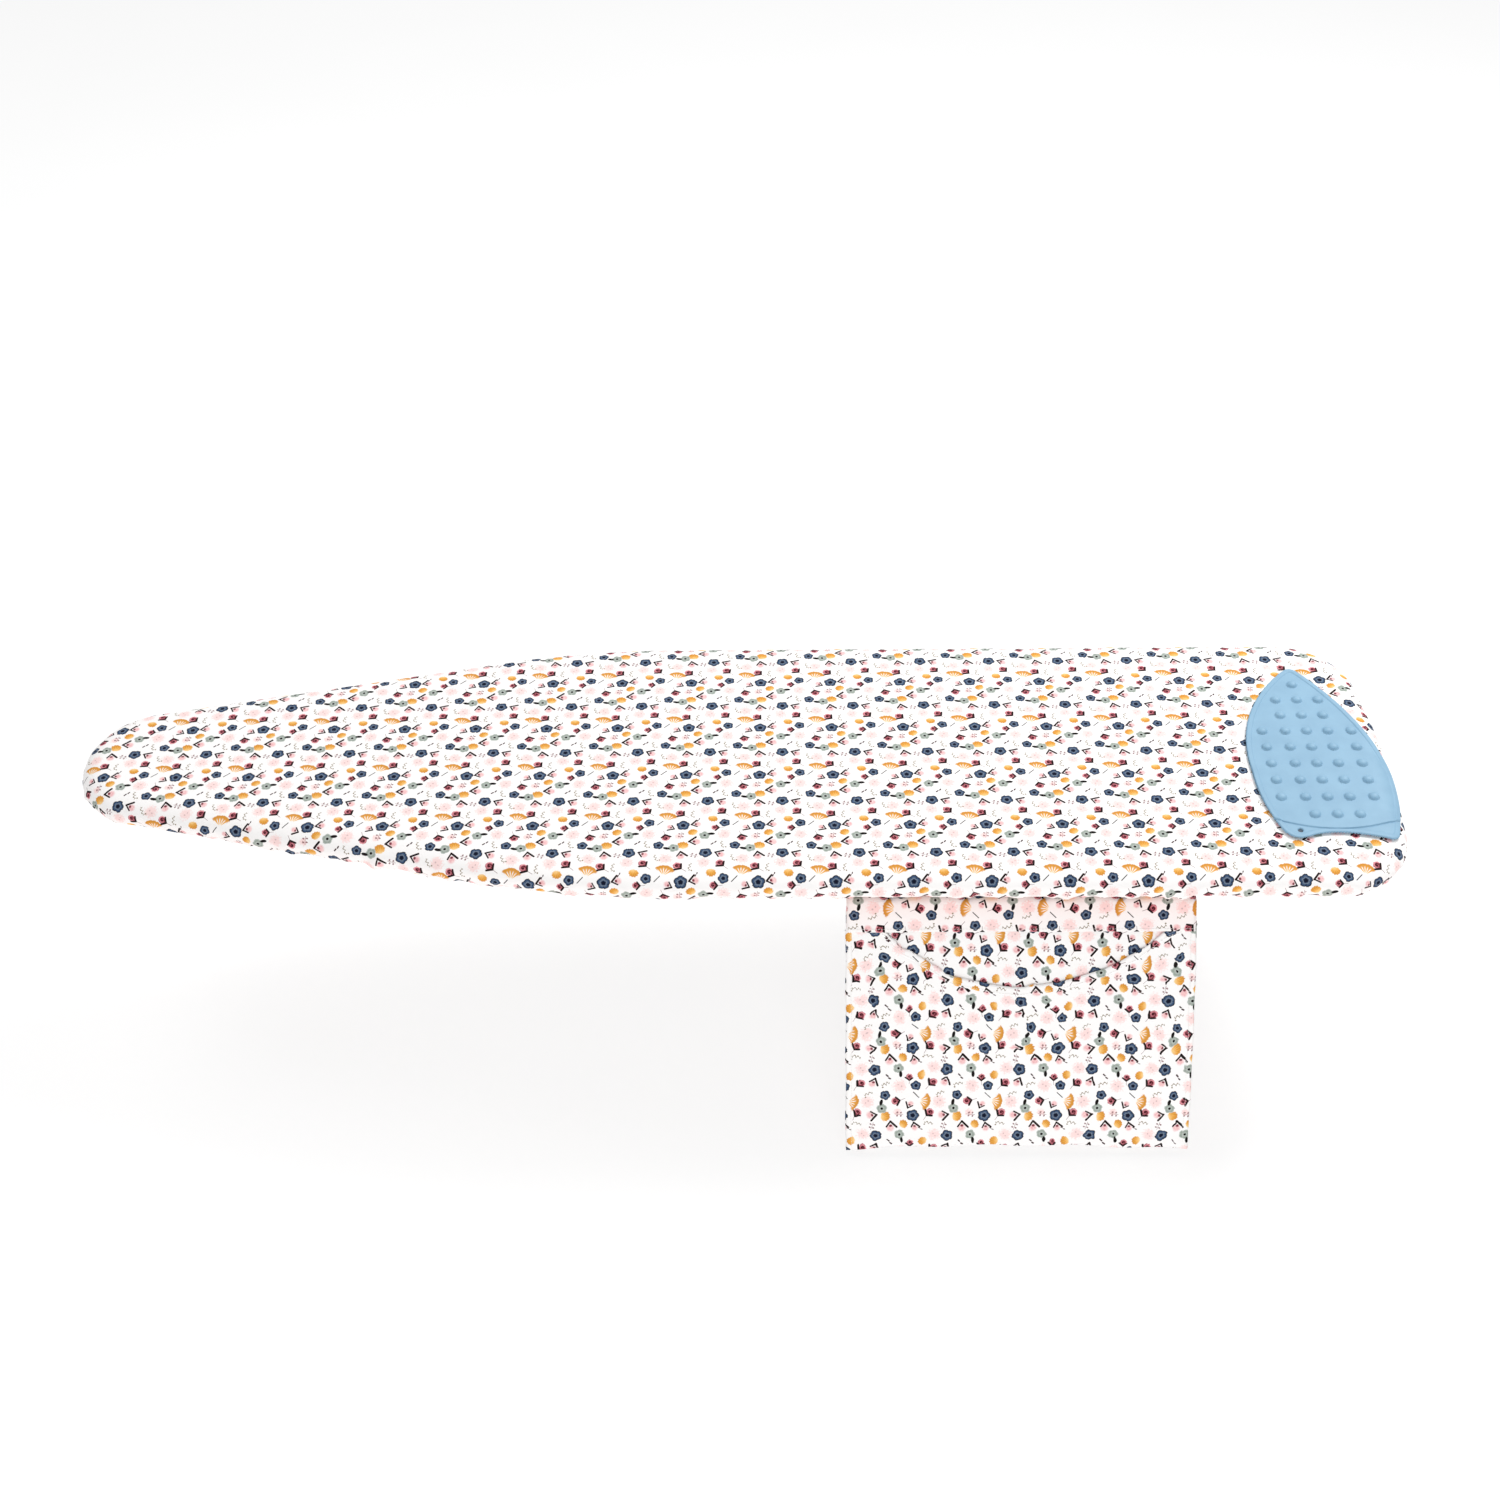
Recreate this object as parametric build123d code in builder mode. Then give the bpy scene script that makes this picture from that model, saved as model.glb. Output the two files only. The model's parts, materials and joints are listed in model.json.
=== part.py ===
"""Padded ironing board top: a wired steel frame, pads and cover, an iron rest mat and a hanging pocket.

Millimetres, +Z up. The origin is the middle of the leg pivot bore under the board.
+X runs from the narrow nose to the broad tail, and +Y to the back edge, away from the pocket.
"""

import math
import os

from build123d import *

# Driving dimensions of the board
BOARD_LENGTH = 1372.0
BOARD_WIDTH = 381.0
BOARD_THICKNESS = 34.0
TAIL_X = 330.0
BASE_Z = 12.0
NOSE_HALF_WIDTH = 66.7
BEND_FROM_NOSE = 522.0
NOSE_RADIUS = 80.0
BEND_RADIUS = 900.0
TAIL_RADIUS = 82.0
TAIL_LEAN = 13.3
TAIL_BOW_RADIUS = 700.0
TAIL_BOW_RISE = 1.7
EDGE_RADIUS = 16.0

# Soft layers
COVER_THICKNESS = 1.0
FELT_THICKNESS = 4.0
FOAM_THICKNESS = 7.6
FOAM_INSET = 5.6
FELT_INSET = 9.0
FELT_EDGE_RADIUS = 3.4
HEM_INSET = 54.0
CASING_WIDTH = 8.0
CASING_THICKNESS = 2.6
ELASTIC_WIDTH = 5.0
ELASTIC_THICKNESS = 1.0

# Steel frame
RIM_RADIUS = 8.0
RIM_WALL = 1.2
RIM_INSET = 17.0
RIM_RISE = 10.0
RIM_GAP = 1.0
RIM_STRAIGHT = 45.0
RIM_BOW_RADIUS = 300.0
JOINER_LENGTH = 60.0
PANEL_THICKNESS = 1.2
DIAMOND_LENGTH = 40.0
DIAMOND_WIDTH = 18.0
DIAMOND_PITCH_X = 62.0
DIAMOND_PITCH_Y = 34.0
DIAMOND_ROWS = 5
DIAMOND_START = 40.0
DIAMOND_MARGIN = 2.0
NOSE_ROOM = 55.0
RIB_WIDTH = 24.0
RIB_DEPTH = 12.0
RIB_WALL = 1.5
RIB_X = {"rib_nose": -700.0, "rib_mid": -190.0, "rib_tail": 130.0}

# Leg pivot bracket
BORE_RADIUS = 4.2
BRACKET_LENGTH = 70.0
BRACKET_WIDTH = 62.0
BRACKET_WALL = 2.0
BRACKET_CORNER_RADIUS = 4.0
EAR_RADIUS = 12.0
EAR_TOP_HALF = 24.0

# Height adjuster rail
RAIL_START = -640.0
RAIL_LENGTH = 390.0
RAIL_WIDTH = 62.0
RAIL_DEPTH = 22.0
RAIL_WALL = 1.5
NOTCH_RADIUS = 5.2
NOTCH_PITCH = 45.0
NOTCH_COUNT = 7

# Rivets
RIVET_RADIUS = 2.4
RIVET_HOLE_RADIUS = 2.5
RIVET_HEAD_RADIUS = 4.5
RIVET_HEAD_HEIGHT = 1.0
BRACKET_RIVET_X = 25.0
BRACKET_RIVET_Y = 18.0
RAIL_RIVET_SHARES = (0.06, 0.35, 0.65, 0.94)
RAIL_RIVET_Y = 16.0
LEVER_RIVET_X = 12.0
LEVER_RIVET_Y = 50.0

# Release lever
LEVER_X = -440.0
LEVER_PIN_Y = 44.0
LEVER_PIN_Z = 16.0
LEVER_PIN_RADIUS = 2.5
LEVER_BARREL_RADIUS = 5.0
LEVER_BARREL_LENGTH = 12.0
LEVER_CLEARANCE = 0.05
LEVER_EAR_RADIUS = 8.0
LEVER_WEB_DEPTH = 22.0
LEVER_ZONE_HALF = 22.0
LEVER_ZONE_WIDTH = 58.0
PIN_HEAD_RADIUS = 4.0
PIN_HEAD_HEIGHT = 1.5
LEVER_WIDTH = 38.0
LEVER_ARM_WIDTH = 20.0
LEVER_ARM_THICKNESS = 3.0
LEVER_REACH = 74.0
LEVER_DROP = 12.0
PLATE_DROP = 6.6
NECK_WIDTH = 6.0
NECK_RISE = 2.0
LATCH_REACH = 17.0
LATCH_DROP = 11.0
LATCH_BEND = 9.0
GRIP_LENGTH = 44.0
GRIP_OVERHANG = 2.0
GRIP_MARGIN = 8.0
GRIP_THICKNESS = 11.0
GRIP_CORNER_RADIUS = 5.0
GRIP_END_RADIUS = 3.0
GRIP_CAP = 1.6
SPRING_COIL_RADIUS = 4.0
SPRING_WIRE_RADIUS = 0.6
SPRING_PITCH = 2.2
SPRING_LENGTH = 11.0

# Elastic straps under the board
STRAP_X = {"strap_nose": -860.0, "strap_mid": -110.0, "strap_tail": 210.0}
STRAP_WIDTH = 20.0
STRAP_THICKNESS = 1.0
CLIP_WIDTH = 26.0
CLIP_LENGTH = 18.0
CLIP_THICKNESS = 5.6
CLIP_CORNER_RADIUS = 2.5
CLIP_OVERLAP = 3.0
CLIP_CASING_SLOT = 3.5
CLIP_SLOT_DEPTH = 20.0
CLIP_STRAP_SLOT = 12.9
CLIP_STRAP_DEPTH = 10.0
STRAP_END_GAP = 8.0

# Iron rest mat
MAT_X = 252.0
MAT_THICKNESS = 2.0
MAT_TIP_Y = 137.0
MAT_BELLY_Y = -36.0
MAT_HALF_WIDTH = 71.5
MAT_CORNER_Y = -134.0
MAT_CORNER_HALF = 53.0
MAT_NOSE_SHOULDER = (-55.0, 62.0)
MAT_TAIL_SHOULDER = (45.0, 62.0)
MAT_WAIST = (67.5, -88.0)
MAT_HOLLOW = 7.0
MAT_TIP_RADIUS = 9.0
MAT_CORNER_RADIUS = 10.0
MAT_LIP_WIDTH = 6.0
MAT_LIP_HEIGHT = 0.8
STEP_HALF = 58.0
STEP_END_Y = -108.0
STEP_SAG = 13.0
STEP_WIDTH = 1.6
STEP_DEPTH = 0.7
DOME_X = -3.0
DOME_RADIUS = 5.3
DOME_HEIGHT = 3.0
DOME_EDGE_RADIUS = 2.8
DOME_PITCH_X = 23.0
DOME_PITCH_Y = 25.75
DOME_FIRST_Y = 106.0
DOME_ROWS = (1, 3, 3, 5, 5, 5, 5, 5, 3)
HANG_HOLE_RADIUS = 3.0
HANG_HOLE = (-40.0, -125.0)

# Pocket
POCKET_CENTRE_X = -67.5
POCKET_WIDTH = 352.0
POCKET_DROP = 279.0
POCKET_TILT = 23.0
POCKET_HINGE_Y = -181.0
POCKET_CLOTH = 1.0
POCKET_TAB_DEPTH = 31.0
BAND_DEPTH = 33.0
BACK_TOP = 22.0
MOUTH_TOP = 30.0
MOUTH_SAG = 56.0
MOUTH_SIDE = 30.0
MOUTH_GAP = 14.0
FOOT_GAP = 5.0
MOUTH_HEM_WIDTH = 11.0
MOUTH_BLOCK = 40.0
BINDING_THICKNESS = 1.0
BINDING_SHOULDER = 8.0
BINDING_SLACK = 2.0
BAND_START = 0.6
POUCH_START = 4.0
MOUTH_DROP = 5.0
ABOVE_MOUTH = 20.0
CLEARANCE = 0.3
SLOT_CLEARANCE = 0.1

# Levels and places that follow from the driving dimensions
NOSE_X = TAIL_X - BOARD_LENGTH
BEND_X = NOSE_X + BEND_FROM_NOSE
HALF_WIDTH = BOARD_WIDTH / 2
TOP_Z = BASE_Z + BOARD_THICKNESS
RIM_Z = BASE_Z + RIM_RISE
PANEL_Z = RIM_Z + RIM_RADIUS
FELT_TOP_Z = TOP_Z - COVER_THICKNESS - 0.6
FELT_Z = FELT_TOP_Z - FELT_THICKNESS
FOAM_Z = FELT_Z - 0.2 - FOAM_THICKNESS
RAIL_BOTTOM_Z = PANEL_Z - RAIL_DEPTH
OUTLINE = [
    (NOSE_X, -NOSE_HALF_WIDTH),
    (BEND_X, -HALF_WIDTH),
    (TAIL_X - TAIL_LEAN, -HALF_WIDTH),
    (TAIL_X + TAIL_BOW_RISE, 0),
    (TAIL_X - TAIL_LEAN, HALF_WIDTH),
    (BEND_X, HALF_WIDTH),
    (NOSE_X, NOSE_HALF_WIDTH),
]
OUTLINE_RADII = [
    NOSE_RADIUS,
    BEND_RADIUS,
    TAIL_RADIUS,
    TAIL_BOW_RADIUS,
    TAIL_RADIUS,
    BEND_RADIUS,
    NOSE_RADIUS,
]

os.makedirs("parts", exist_ok=True)


def save(part, name):
    """Labels one finished piece and writes its STEP file."""
    part.label = name
    export_step(part, f"parts/{name}.step")


def board_face(inset, height):
    """The board's outline, drawn in from its edge by inset, as a face at one height."""
    with BuildSketch(Plane.XY.offset(height)) as face:
        with BuildLine():
            FilletPolyline(*OUTLINE, radius=OUTLINE_RADII, close=True)
        make_face()
        if inset:
            offset(amount=-inset)
    return face.sketch


def half_width_at(x):
    """The board's half width at x, away from its rounded corners."""
    slope = (HALF_WIDTH - NOSE_HALF_WIDTH) / BEND_FROM_NOSE
    return min(HALF_WIDTH, NOSE_HALF_WIDTH + slope * (x - NOSE_X))


def rivets(points):
    """Rivets through a part under the panel, standing from below it to just above the panel."""
    bottom = PANEL_Z - BRACKET_WALL - RIVET_HEAD_HEIGHT
    shank = BRACKET_WALL + PANEL_THICKNESS + 2 * RIVET_HEAD_HEIGHT
    with BuildPart() as group:
        with BuildSketch(Plane.XY.offset(bottom)):
            with Locations(*points):
                Circle(RIVET_RADIUS)
        extrude(amount=shank)
        for level in (bottom, bottom + shank - RIVET_HEAD_HEIGHT):
            with BuildSketch(Plane.XY.offset(level)):
                with Locations(*points):
                    Circle(RIVET_HEAD_RADIUS)
            extrude(amount=RIVET_HEAD_HEIGHT)
    return group.part


BRACKET_RIVET_POINTS = [
    (x, y) for x in (-BRACKET_RIVET_X, BRACKET_RIVET_X) for y in (-BRACKET_RIVET_Y, BRACKET_RIVET_Y)
]
RAIL_RIVET_POINTS = [
    (RAIL_START + share * RAIL_LENGTH, y)
    for share in RAIL_RIVET_SHARES
    for y in (-RAIL_RIVET_Y, RAIL_RIVET_Y)
]
LEVER_RIVET_POINTS = [(LEVER_X - LEVER_RIVET_X, LEVER_RIVET_Y), (LEVER_X + LEVER_RIVET_X, LEVER_RIVET_Y)]
RIVET_POINTS = BRACKET_RIVET_POINTS + RAIL_RIVET_POINTS + LEVER_RIVET_POINTS

# The areas of the panel that stay whole, as low x, high x and half width
SOLID_ZONES = [(x - RIB_WIDTH / 2, x + RIB_WIDTH / 2, HALF_WIDTH) for x in RIB_X.values()]
SOLID_ZONES.append((-BRACKET_LENGTH / 2, BRACKET_LENGTH / 2, BRACKET_WIDTH / 2))
SOLID_ZONES.append((RAIL_START, RAIL_START + RAIL_LENGTH, RAIL_WIDTH / 2))
SOLID_ZONES.append((LEVER_X - LEVER_ZONE_HALF, LEVER_X + LEVER_ZONE_HALF, LEVER_ZONE_WIDTH))


def in_solid_zone(x, y):
    """True where a diamond centred at (x, y) would cut a riveted or welded area."""
    reach_x = DIAMOND_LENGTH / 2 + DIAMOND_MARGIN
    reach_y = DIAMOND_WIDTH / 2 + DIAMOND_MARGIN
    return any(
        low - reach_x < x < high + reach_x and abs(y) < half + reach_y for low, high, half in SOLID_ZONES
    )


def diamond_points():
    """Centres of the panel's openings: a staggered grid inside the rim, with the riveted areas left out."""
    points = []
    columns = int(BOARD_LENGTH / (DIAMOND_PITCH_X / 2))
    for column in range(columns):
        x = NOSE_X + DIAMOND_START + column * DIAMOND_PITCH_X / 2
        shift = (column % 2) * DIAMOND_PITCH_Y / 2
        for row in range(-DIAMOND_ROWS, DIAMOND_ROWS + 1):
            y = row * DIAMOND_PITCH_Y + shift
            room = half_width_at(x) - RIM_INSET - RIM_RADIUS - DIAMOND_WIDTH / 2
            from_nose = x - NOSE_X - RIM_INSET - RIM_RADIUS - DIAMOND_LENGTH / 2
            tail_x = TAIL_X - TAIL_LEAN * abs(y) / HALF_WIDTH
            from_tail = tail_x - x - RIM_INSET - RIM_RADIUS - DIAMOND_LENGTH / 2
            corner = TAIL_RADIUS - RIM_INSET - RIM_RADIUS - DIAMOND_WIDTH
            past_corner = math.hypot(max(0.0, corner - from_tail), max(0.0, abs(y) - room + corner))
            past_nose = math.hypot(max(0.0, NOSE_ROOM - from_nose), max(0.0, abs(y) - room + NOSE_ROOM))
            inside = from_nose > 0 and from_tail > 0 and abs(y) < room
            if inside and past_corner < corner and past_nose < NOSE_ROOM and not in_solid_zone(x, y):
                points.append((x, y))
    return points


# The perforated steel panel that carries the pads
with BuildPart() as mesh_panel:
    extrude(board_face(RIM_INSET - 2.0, PANEL_Z), amount=PANEL_THICKNESS)
    with BuildSketch(Plane.XY.offset(PANEL_Z)):
        with Locations(*diamond_points()):
            Polygon(
                (-DIAMOND_LENGTH / 2, 0),
                (0, -DIAMOND_WIDTH / 2),
                (DIAMOND_LENGTH / 2, 0),
                (0, DIAMOND_WIDTH / 2),
                align=None,
            )
        with Locations(*RIVET_POINTS):
            Circle(RIVET_HOLE_RADIUS)
    extrude(amount=PANEL_THICKNESS, mode=Mode.SUBTRACT)
save(mesh_panel.part, "mesh_panel")

# The rim tube runs round from one side of the tail to the other, with a butt joint in the middle
rim_x = TAIL_X - RIM_INSET
rim_y = HALF_WIDTH - RIM_INSET
rim_corner_x = rim_x - TAIL_LEAN * (rim_y - RIM_STRAIGHT / 2) / HALF_WIDTH
lean = math.atan2(HALF_WIDTH - NOSE_HALF_WIDTH, BEND_FROM_NOSE)
rim_nose_y = NOSE_HALF_WIDTH - RIM_INSET * (1 - math.sin(lean)) / math.cos(lean)
rim_bend_x = BEND_X + RIM_INSET * math.tan(lean / 2)
RIM_POINTS = [
    (rim_x, -RIM_GAP, RIM_Z),
    (rim_x, -RIM_STRAIGHT, RIM_Z),
    (rim_corner_x, -rim_y, RIM_Z),
    (rim_bend_x, -rim_y, RIM_Z),
    (NOSE_X + RIM_INSET, -rim_nose_y, RIM_Z),
    (NOSE_X + RIM_INSET, rim_nose_y, RIM_Z),
    (rim_bend_x, rim_y, RIM_Z),
    (rim_corner_x, rim_y, RIM_Z),
    (rim_x, RIM_STRAIGHT, RIM_Z),
    (rim_x, RIM_GAP, RIM_Z),
]
RIM_RADII = [RIM_BOW_RADIUS] + [radius - RIM_INSET for radius in (TAIL_RADIUS, BEND_RADIUS, NOSE_RADIUS)]


def rim_sweep(outer, inner):
    """A round bar, or a tube where inner isn't 0, along the rim's path."""
    with BuildPart() as bar:
        with BuildLine() as path:
            FilletPolyline(*RIM_POINTS, radius=RIM_RADII + RIM_RADII[::-1])
        with BuildSketch(Plane(origin=RIM_POINTS[0], z_dir=(0, -1, 0))):
            Circle(outer)
            if inner:
                Circle(inner, mode=Mode.SUBTRACT)
        sweep(path=path.line)
    return bar.part


with BuildPart() as rim_tube:
    add(rim_sweep(RIM_RADIUS, RIM_RADIUS - RIM_WALL))
save(rim_tube.part, "rim_tube")
rim_bar = rim_sweep(RIM_RADIUS, 0)

# A spigot inside the two ends of the rim tube joins them
with BuildPart() as rim_joiner:
    with BuildSketch(Plane(origin=(rim_x, -JOINER_LENGTH / 2, RIM_Z), z_dir=(0, 1, 0))):
        Circle(RIM_RADIUS - RIM_WALL - SLOT_CLEARANCE)
        Circle(RIM_RADIUS - 2 * RIM_WALL - SLOT_CLEARANCE, mode=Mode.SUBTRACT)
    extrude(amount=JOINER_LENGTH)
save(rim_joiner.part, "rim_joiner")

# Three pressed channels cross the frame under the panel, cut to the rim tube at both ends
for rib_name, rib_x in RIB_X.items():
    with BuildPart() as rib:
        with BuildSketch(Plane(origin=(rib_x, 0, PANEL_Z), x_dir=(1, 0, 0), z_dir=(0, -1, 0))):
            Rectangle(RIB_WIDTH, RIB_DEPTH, align=(Align.CENTER, Align.MAX))
            with Locations((0, -RIB_WALL)):
                Rectangle(
                    RIB_WIDTH - 2 * RIB_WALL,
                    RIB_DEPTH,
                    align=(Align.CENTER, Align.MAX),
                    mode=Mode.SUBTRACT,
                )
        extrude(amount=half_width_at(rib_x) - RIM_INSET - RIM_RADIUS / 2, both=True)
        add(rim_bar, mode=Mode.SUBTRACT)
    save(rib.part, rib_name)

# The bracket that the leg pivot pin passes through: a web under the panel and two ears with a bore
web_z = PANEL_Z - BRACKET_WALL
with BuildPart() as leg_bracket:
    with BuildSketch(Plane.XY.offset(web_z)):
        RectangleRounded(BRACKET_LENGTH, BRACKET_WIDTH, BRACKET_CORNER_RADIUS)
        with Locations(*BRACKET_RIVET_POINTS):
            Circle(RIVET_HOLE_RADIUS, mode=Mode.SUBTRACT)
    extrude(amount=BRACKET_WALL)
    for ear_y in (BRACKET_WIDTH / 2, -BRACKET_WIDTH / 2 + BRACKET_WALL):
        with BuildSketch(Plane(origin=(0, ear_y, 0), x_dir=(1, 0, 0), z_dir=(0, -1, 0))):
            with BuildLine():
                Line((EAR_RADIUS, 0), (EAR_TOP_HALF, web_z))
                Line((EAR_TOP_HALF, web_z), (-EAR_TOP_HALF, web_z))
                Line((-EAR_TOP_HALF, web_z), (-EAR_RADIUS, 0))
                ThreePointArc((-EAR_RADIUS, 0), (0, -EAR_RADIUS), (EAR_RADIUS, 0))
            make_face()
            Circle(BORE_RADIUS, mode=Mode.SUBTRACT)
        extrude(amount=BRACKET_WALL)
save(leg_bracket.part, "leg_bracket")
save(rivets(BRACKET_RIVET_POINTS), "bracket_rivets")

# The height rail: an inverted channel whose lower edges are notched for the sliding leg
with BuildPart() as adjuster_rail:
    with BuildSketch(Plane(origin=(RAIL_START, 0, PANEL_Z), x_dir=(0, 1, 0), z_dir=(1, 0, 0))):
        Rectangle(RAIL_WIDTH, RAIL_DEPTH, align=(Align.CENTER, Align.MAX))
        with Locations((0, -BRACKET_WALL)):
            Rectangle(
                RAIL_WIDTH - 2 * RAIL_WALL,
                RAIL_DEPTH,
                align=(Align.CENTER, Align.MAX),
                mode=Mode.SUBTRACT,
            )
    extrude(amount=RAIL_LENGTH)
    notch_middle = RAIL_START + RAIL_LENGTH / 2
    with BuildSketch(Plane(origin=(notch_middle, RAIL_WIDTH, RAIL_BOTTOM_Z), z_dir=(0, -1, 0))):
        with GridLocations(NOTCH_PITCH, 1, NOTCH_COUNT, 1):
            Circle(NOTCH_RADIUS)
    extrude(amount=2 * RAIL_WIDTH, mode=Mode.SUBTRACT)
    with BuildSketch(Plane.XY.offset(PANEL_Z - BRACKET_WALL)):
        with Locations(*RAIL_RIVET_POINTS):
            Circle(RIVET_HOLE_RADIUS)
    extrude(amount=BRACKET_WALL, mode=Mode.SUBTRACT)
save(adjuster_rail.part, "adjuster_rail")
save(rivets(RAIL_RIVET_POINTS), "rail_rivets")

# The bracket of the release lever: a web under the panel and an ear at each end of the pin
ear_gap = LEVER_WIDTH + 2 * CLEARANCE
with BuildPart() as lever_bracket:
    with BuildSketch(Plane.XY.offset(web_z)):
        with Locations((LEVER_X, LEVER_PIN_Y + 1.0)):
            Rectangle(ear_gap + 2 * BRACKET_WALL, LEVER_WEB_DEPTH)
        with Locations(*LEVER_RIVET_POINTS):
            Circle(RIVET_HOLE_RADIUS, mode=Mode.SUBTRACT)
    extrude(amount=BRACKET_WALL)
    for ear_x in (LEVER_X - ear_gap / 2 - BRACKET_WALL, LEVER_X + ear_gap / 2):
        ear_plane = Plane(origin=(ear_x, LEVER_PIN_Y, LEVER_PIN_Z), x_dir=(0, 1, 0), z_dir=(1, 0, 0))
        with BuildSketch(ear_plane):
            Circle(LEVER_EAR_RADIUS)
            Rectangle(2 * LEVER_EAR_RADIUS, web_z - LEVER_PIN_Z, align=(Align.CENTER, Align.MIN))
            Circle(LEVER_PIN_RADIUS + SLOT_CLEARANCE, mode=Mode.SUBTRACT)
        extrude(amount=BRACKET_WALL)
save(lever_bracket.part, "lever_bracket")
save(rivets(LEVER_RIVET_POINTS), "lever_rivets")

# The lever's pin, with a head at each end
pin_length = ear_gap + 2 * BRACKET_WALL + 1.0
with BuildPart() as lever_pin:
    with BuildSketch(Plane.YZ.offset(LEVER_X - pin_length / 2)):
        with Locations((LEVER_PIN_Y, LEVER_PIN_Z)):
            Circle(LEVER_PIN_RADIUS)
    extrude(amount=pin_length)
    for head_x in (LEVER_X - pin_length / 2 - PIN_HEAD_HEIGHT, LEVER_X + pin_length / 2):
        with BuildSketch(Plane.YZ.offset(head_x)):
            with Locations((LEVER_PIN_Y, LEVER_PIN_Z)):
                Circle(PIN_HEAD_RADIUS)
        extrude(amount=PIN_HEAD_HEIGHT)
save(lever_pin.part, "lever_pin")

# The release lever: a bent plate with a barrel on each side of the spring, a latch and an arm
half_plate = LEVER_ARM_THICKNESS / 2
plate_z = LEVER_PIN_Z - PLATE_DROP
plate_line = [
    (LEVER_PIN_Y - LATCH_REACH, LEVER_PIN_Z - LATCH_DROP),
    (LEVER_PIN_Y - LATCH_BEND, LEVER_PIN_Z - LATCH_DROP),
    (LEVER_PIN_Y, plate_z),
    (LEVER_PIN_Y + LEVER_REACH, plate_z - LEVER_DROP),
]
with BuildPart() as release_lever:
    with BuildSketch(Plane.YZ.offset(LEVER_X - LEVER_ARM_WIDTH / 2)):
        Polygon(
            *[(y, z + half_plate) for y, z in plate_line],
            *[(y, z - half_plate) for y, z in reversed(plate_line)],
            align=None,
        )
    extrude(amount=LEVER_ARM_WIDTH)
    for barrel_x in (LEVER_X - LEVER_WIDTH / 2, LEVER_X + LEVER_WIDTH / 2 - LEVER_BARREL_LENGTH):
        with BuildSketch(Plane.YZ.offset(barrel_x)):
            with Locations((LEVER_PIN_Y, LEVER_PIN_Z)):
                Circle(LEVER_BARREL_RADIUS)
            with Locations((LEVER_PIN_Y, plate_z)):
                Rectangle(NECK_WIDTH, LEVER_ARM_THICKNESS + NECK_RISE)
            with Locations((LEVER_PIN_Y, LEVER_PIN_Z)):
                Circle(LEVER_PIN_RADIUS + LEVER_CLEARANCE, mode=Mode.SUBTRACT)
        extrude(amount=LEVER_BARREL_LENGTH)
save(release_lever.part, "release_lever")

# The grip is a rounded sleeve pushed over the end of the arm, closed by a cap
arm_slope = math.atan2(LEVER_DROP, LEVER_REACH)
arm_direction = (0, math.cos(arm_slope), -math.sin(arm_slope))
grip_reach = LEVER_REACH + GRIP_OVERHANG
grip_plane = Plane(
    origin=(LEVER_X, LEVER_PIN_Y + grip_reach, plate_z - grip_reach * math.tan(arm_slope)),
    x_dir=(1, 0, 0),
    z_dir=arm_direction,
)
with BuildPart() as lever_grip:
    with BuildSketch(grip_plane):
        RectangleRounded(LEVER_ARM_WIDTH + GRIP_MARGIN, GRIP_THICKNESS, GRIP_CORNER_RADIUS)
    extrude(amount=-GRIP_LENGTH)
    fillet(lever_grip.faces().sort_by(Axis.Y)[-1].edges(), radius=GRIP_END_RADIUS)
    with BuildSketch(grip_plane):
        Rectangle(LEVER_ARM_WIDTH + SLOT_CLEARANCE, LEVER_ARM_THICKNESS + SLOT_CLEARANCE)
    extrude(amount=-GRIP_LENGTH, mode=Mode.SUBTRACT)
    with BuildSketch(grip_plane):
        Rectangle(LEVER_ARM_WIDTH + GRIP_MARGIN / 2, LEVER_ARM_THICKNESS + GRIP_END_RADIUS)
    extrude(amount=-GRIP_CAP)
save(lever_grip.part, "lever_grip")

# The return spring, wound on the pin between the lever's barrels
with BuildPart() as lever_spring:
    with BuildLine() as coil:
        Helix(
            pitch=SPRING_PITCH,
            height=SPRING_LENGTH,
            radius=SPRING_COIL_RADIUS,
            center=(LEVER_X - SPRING_LENGTH / 2, LEVER_PIN_Y, LEVER_PIN_Z),
            direction=(1, 0, 0),
        )
    with BuildSketch(Plane(origin=coil.line @ 0, z_dir=coil.line % 0)):
        Circle(SPRING_WIRE_RADIUS)
    sweep(path=coil.line)
save(lever_spring.part, "lever_spring")

# The pads on the panel: foam below, felt above with a softened edge
with BuildPart() as foam_pad:
    extrude(board_face(FOAM_INSET, FOAM_Z), amount=FOAM_THICKNESS)
save(foam_pad.part, "foam_pad")

with BuildPart() as felt_pad:
    extrude(board_face(FELT_INSET, FELT_Z), amount=FELT_THICKNESS)
    fillet(felt_pad.faces().sort_by(Axis.Z)[-1].edges(), radius=FELT_EDGE_RADIUS)
save(felt_pad.part, "felt_pad")


def cushion_shape(inset, bottom, height, radius):
    """The board's outline as a slab with both edges rounded."""
    with BuildPart() as slab:
        extrude(board_face(inset, bottom), amount=height)
        fillet(slab.faces().sort_by(Axis.Z)[-1].edges(), radius=radius)
        fillet(slab.faces().sort_by(Axis.Z)[0].edges(), radius=radius)
    return slab.part


# The cotton cover: over the top, round the edge and turned under, open below inside its hem
with BuildPart() as cotton_cover:
    add(cushion_shape(0, BASE_Z, BOARD_THICKNESS, EDGE_RADIUS))
    add(
        cushion_shape(
            COVER_THICKNESS,
            BASE_Z + COVER_THICKNESS,
            BOARD_THICKNESS - 2 * COVER_THICKNESS,
            EDGE_RADIUS - COVER_THICKNESS,
        ),
        mode=Mode.SUBTRACT,
    )
    extrude(board_face(HEM_INSET, BASE_Z), amount=2 * COVER_THICKNESS, mode=Mode.SUBTRACT)
save(cotton_cover.part, "cotton_cover")

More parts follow.
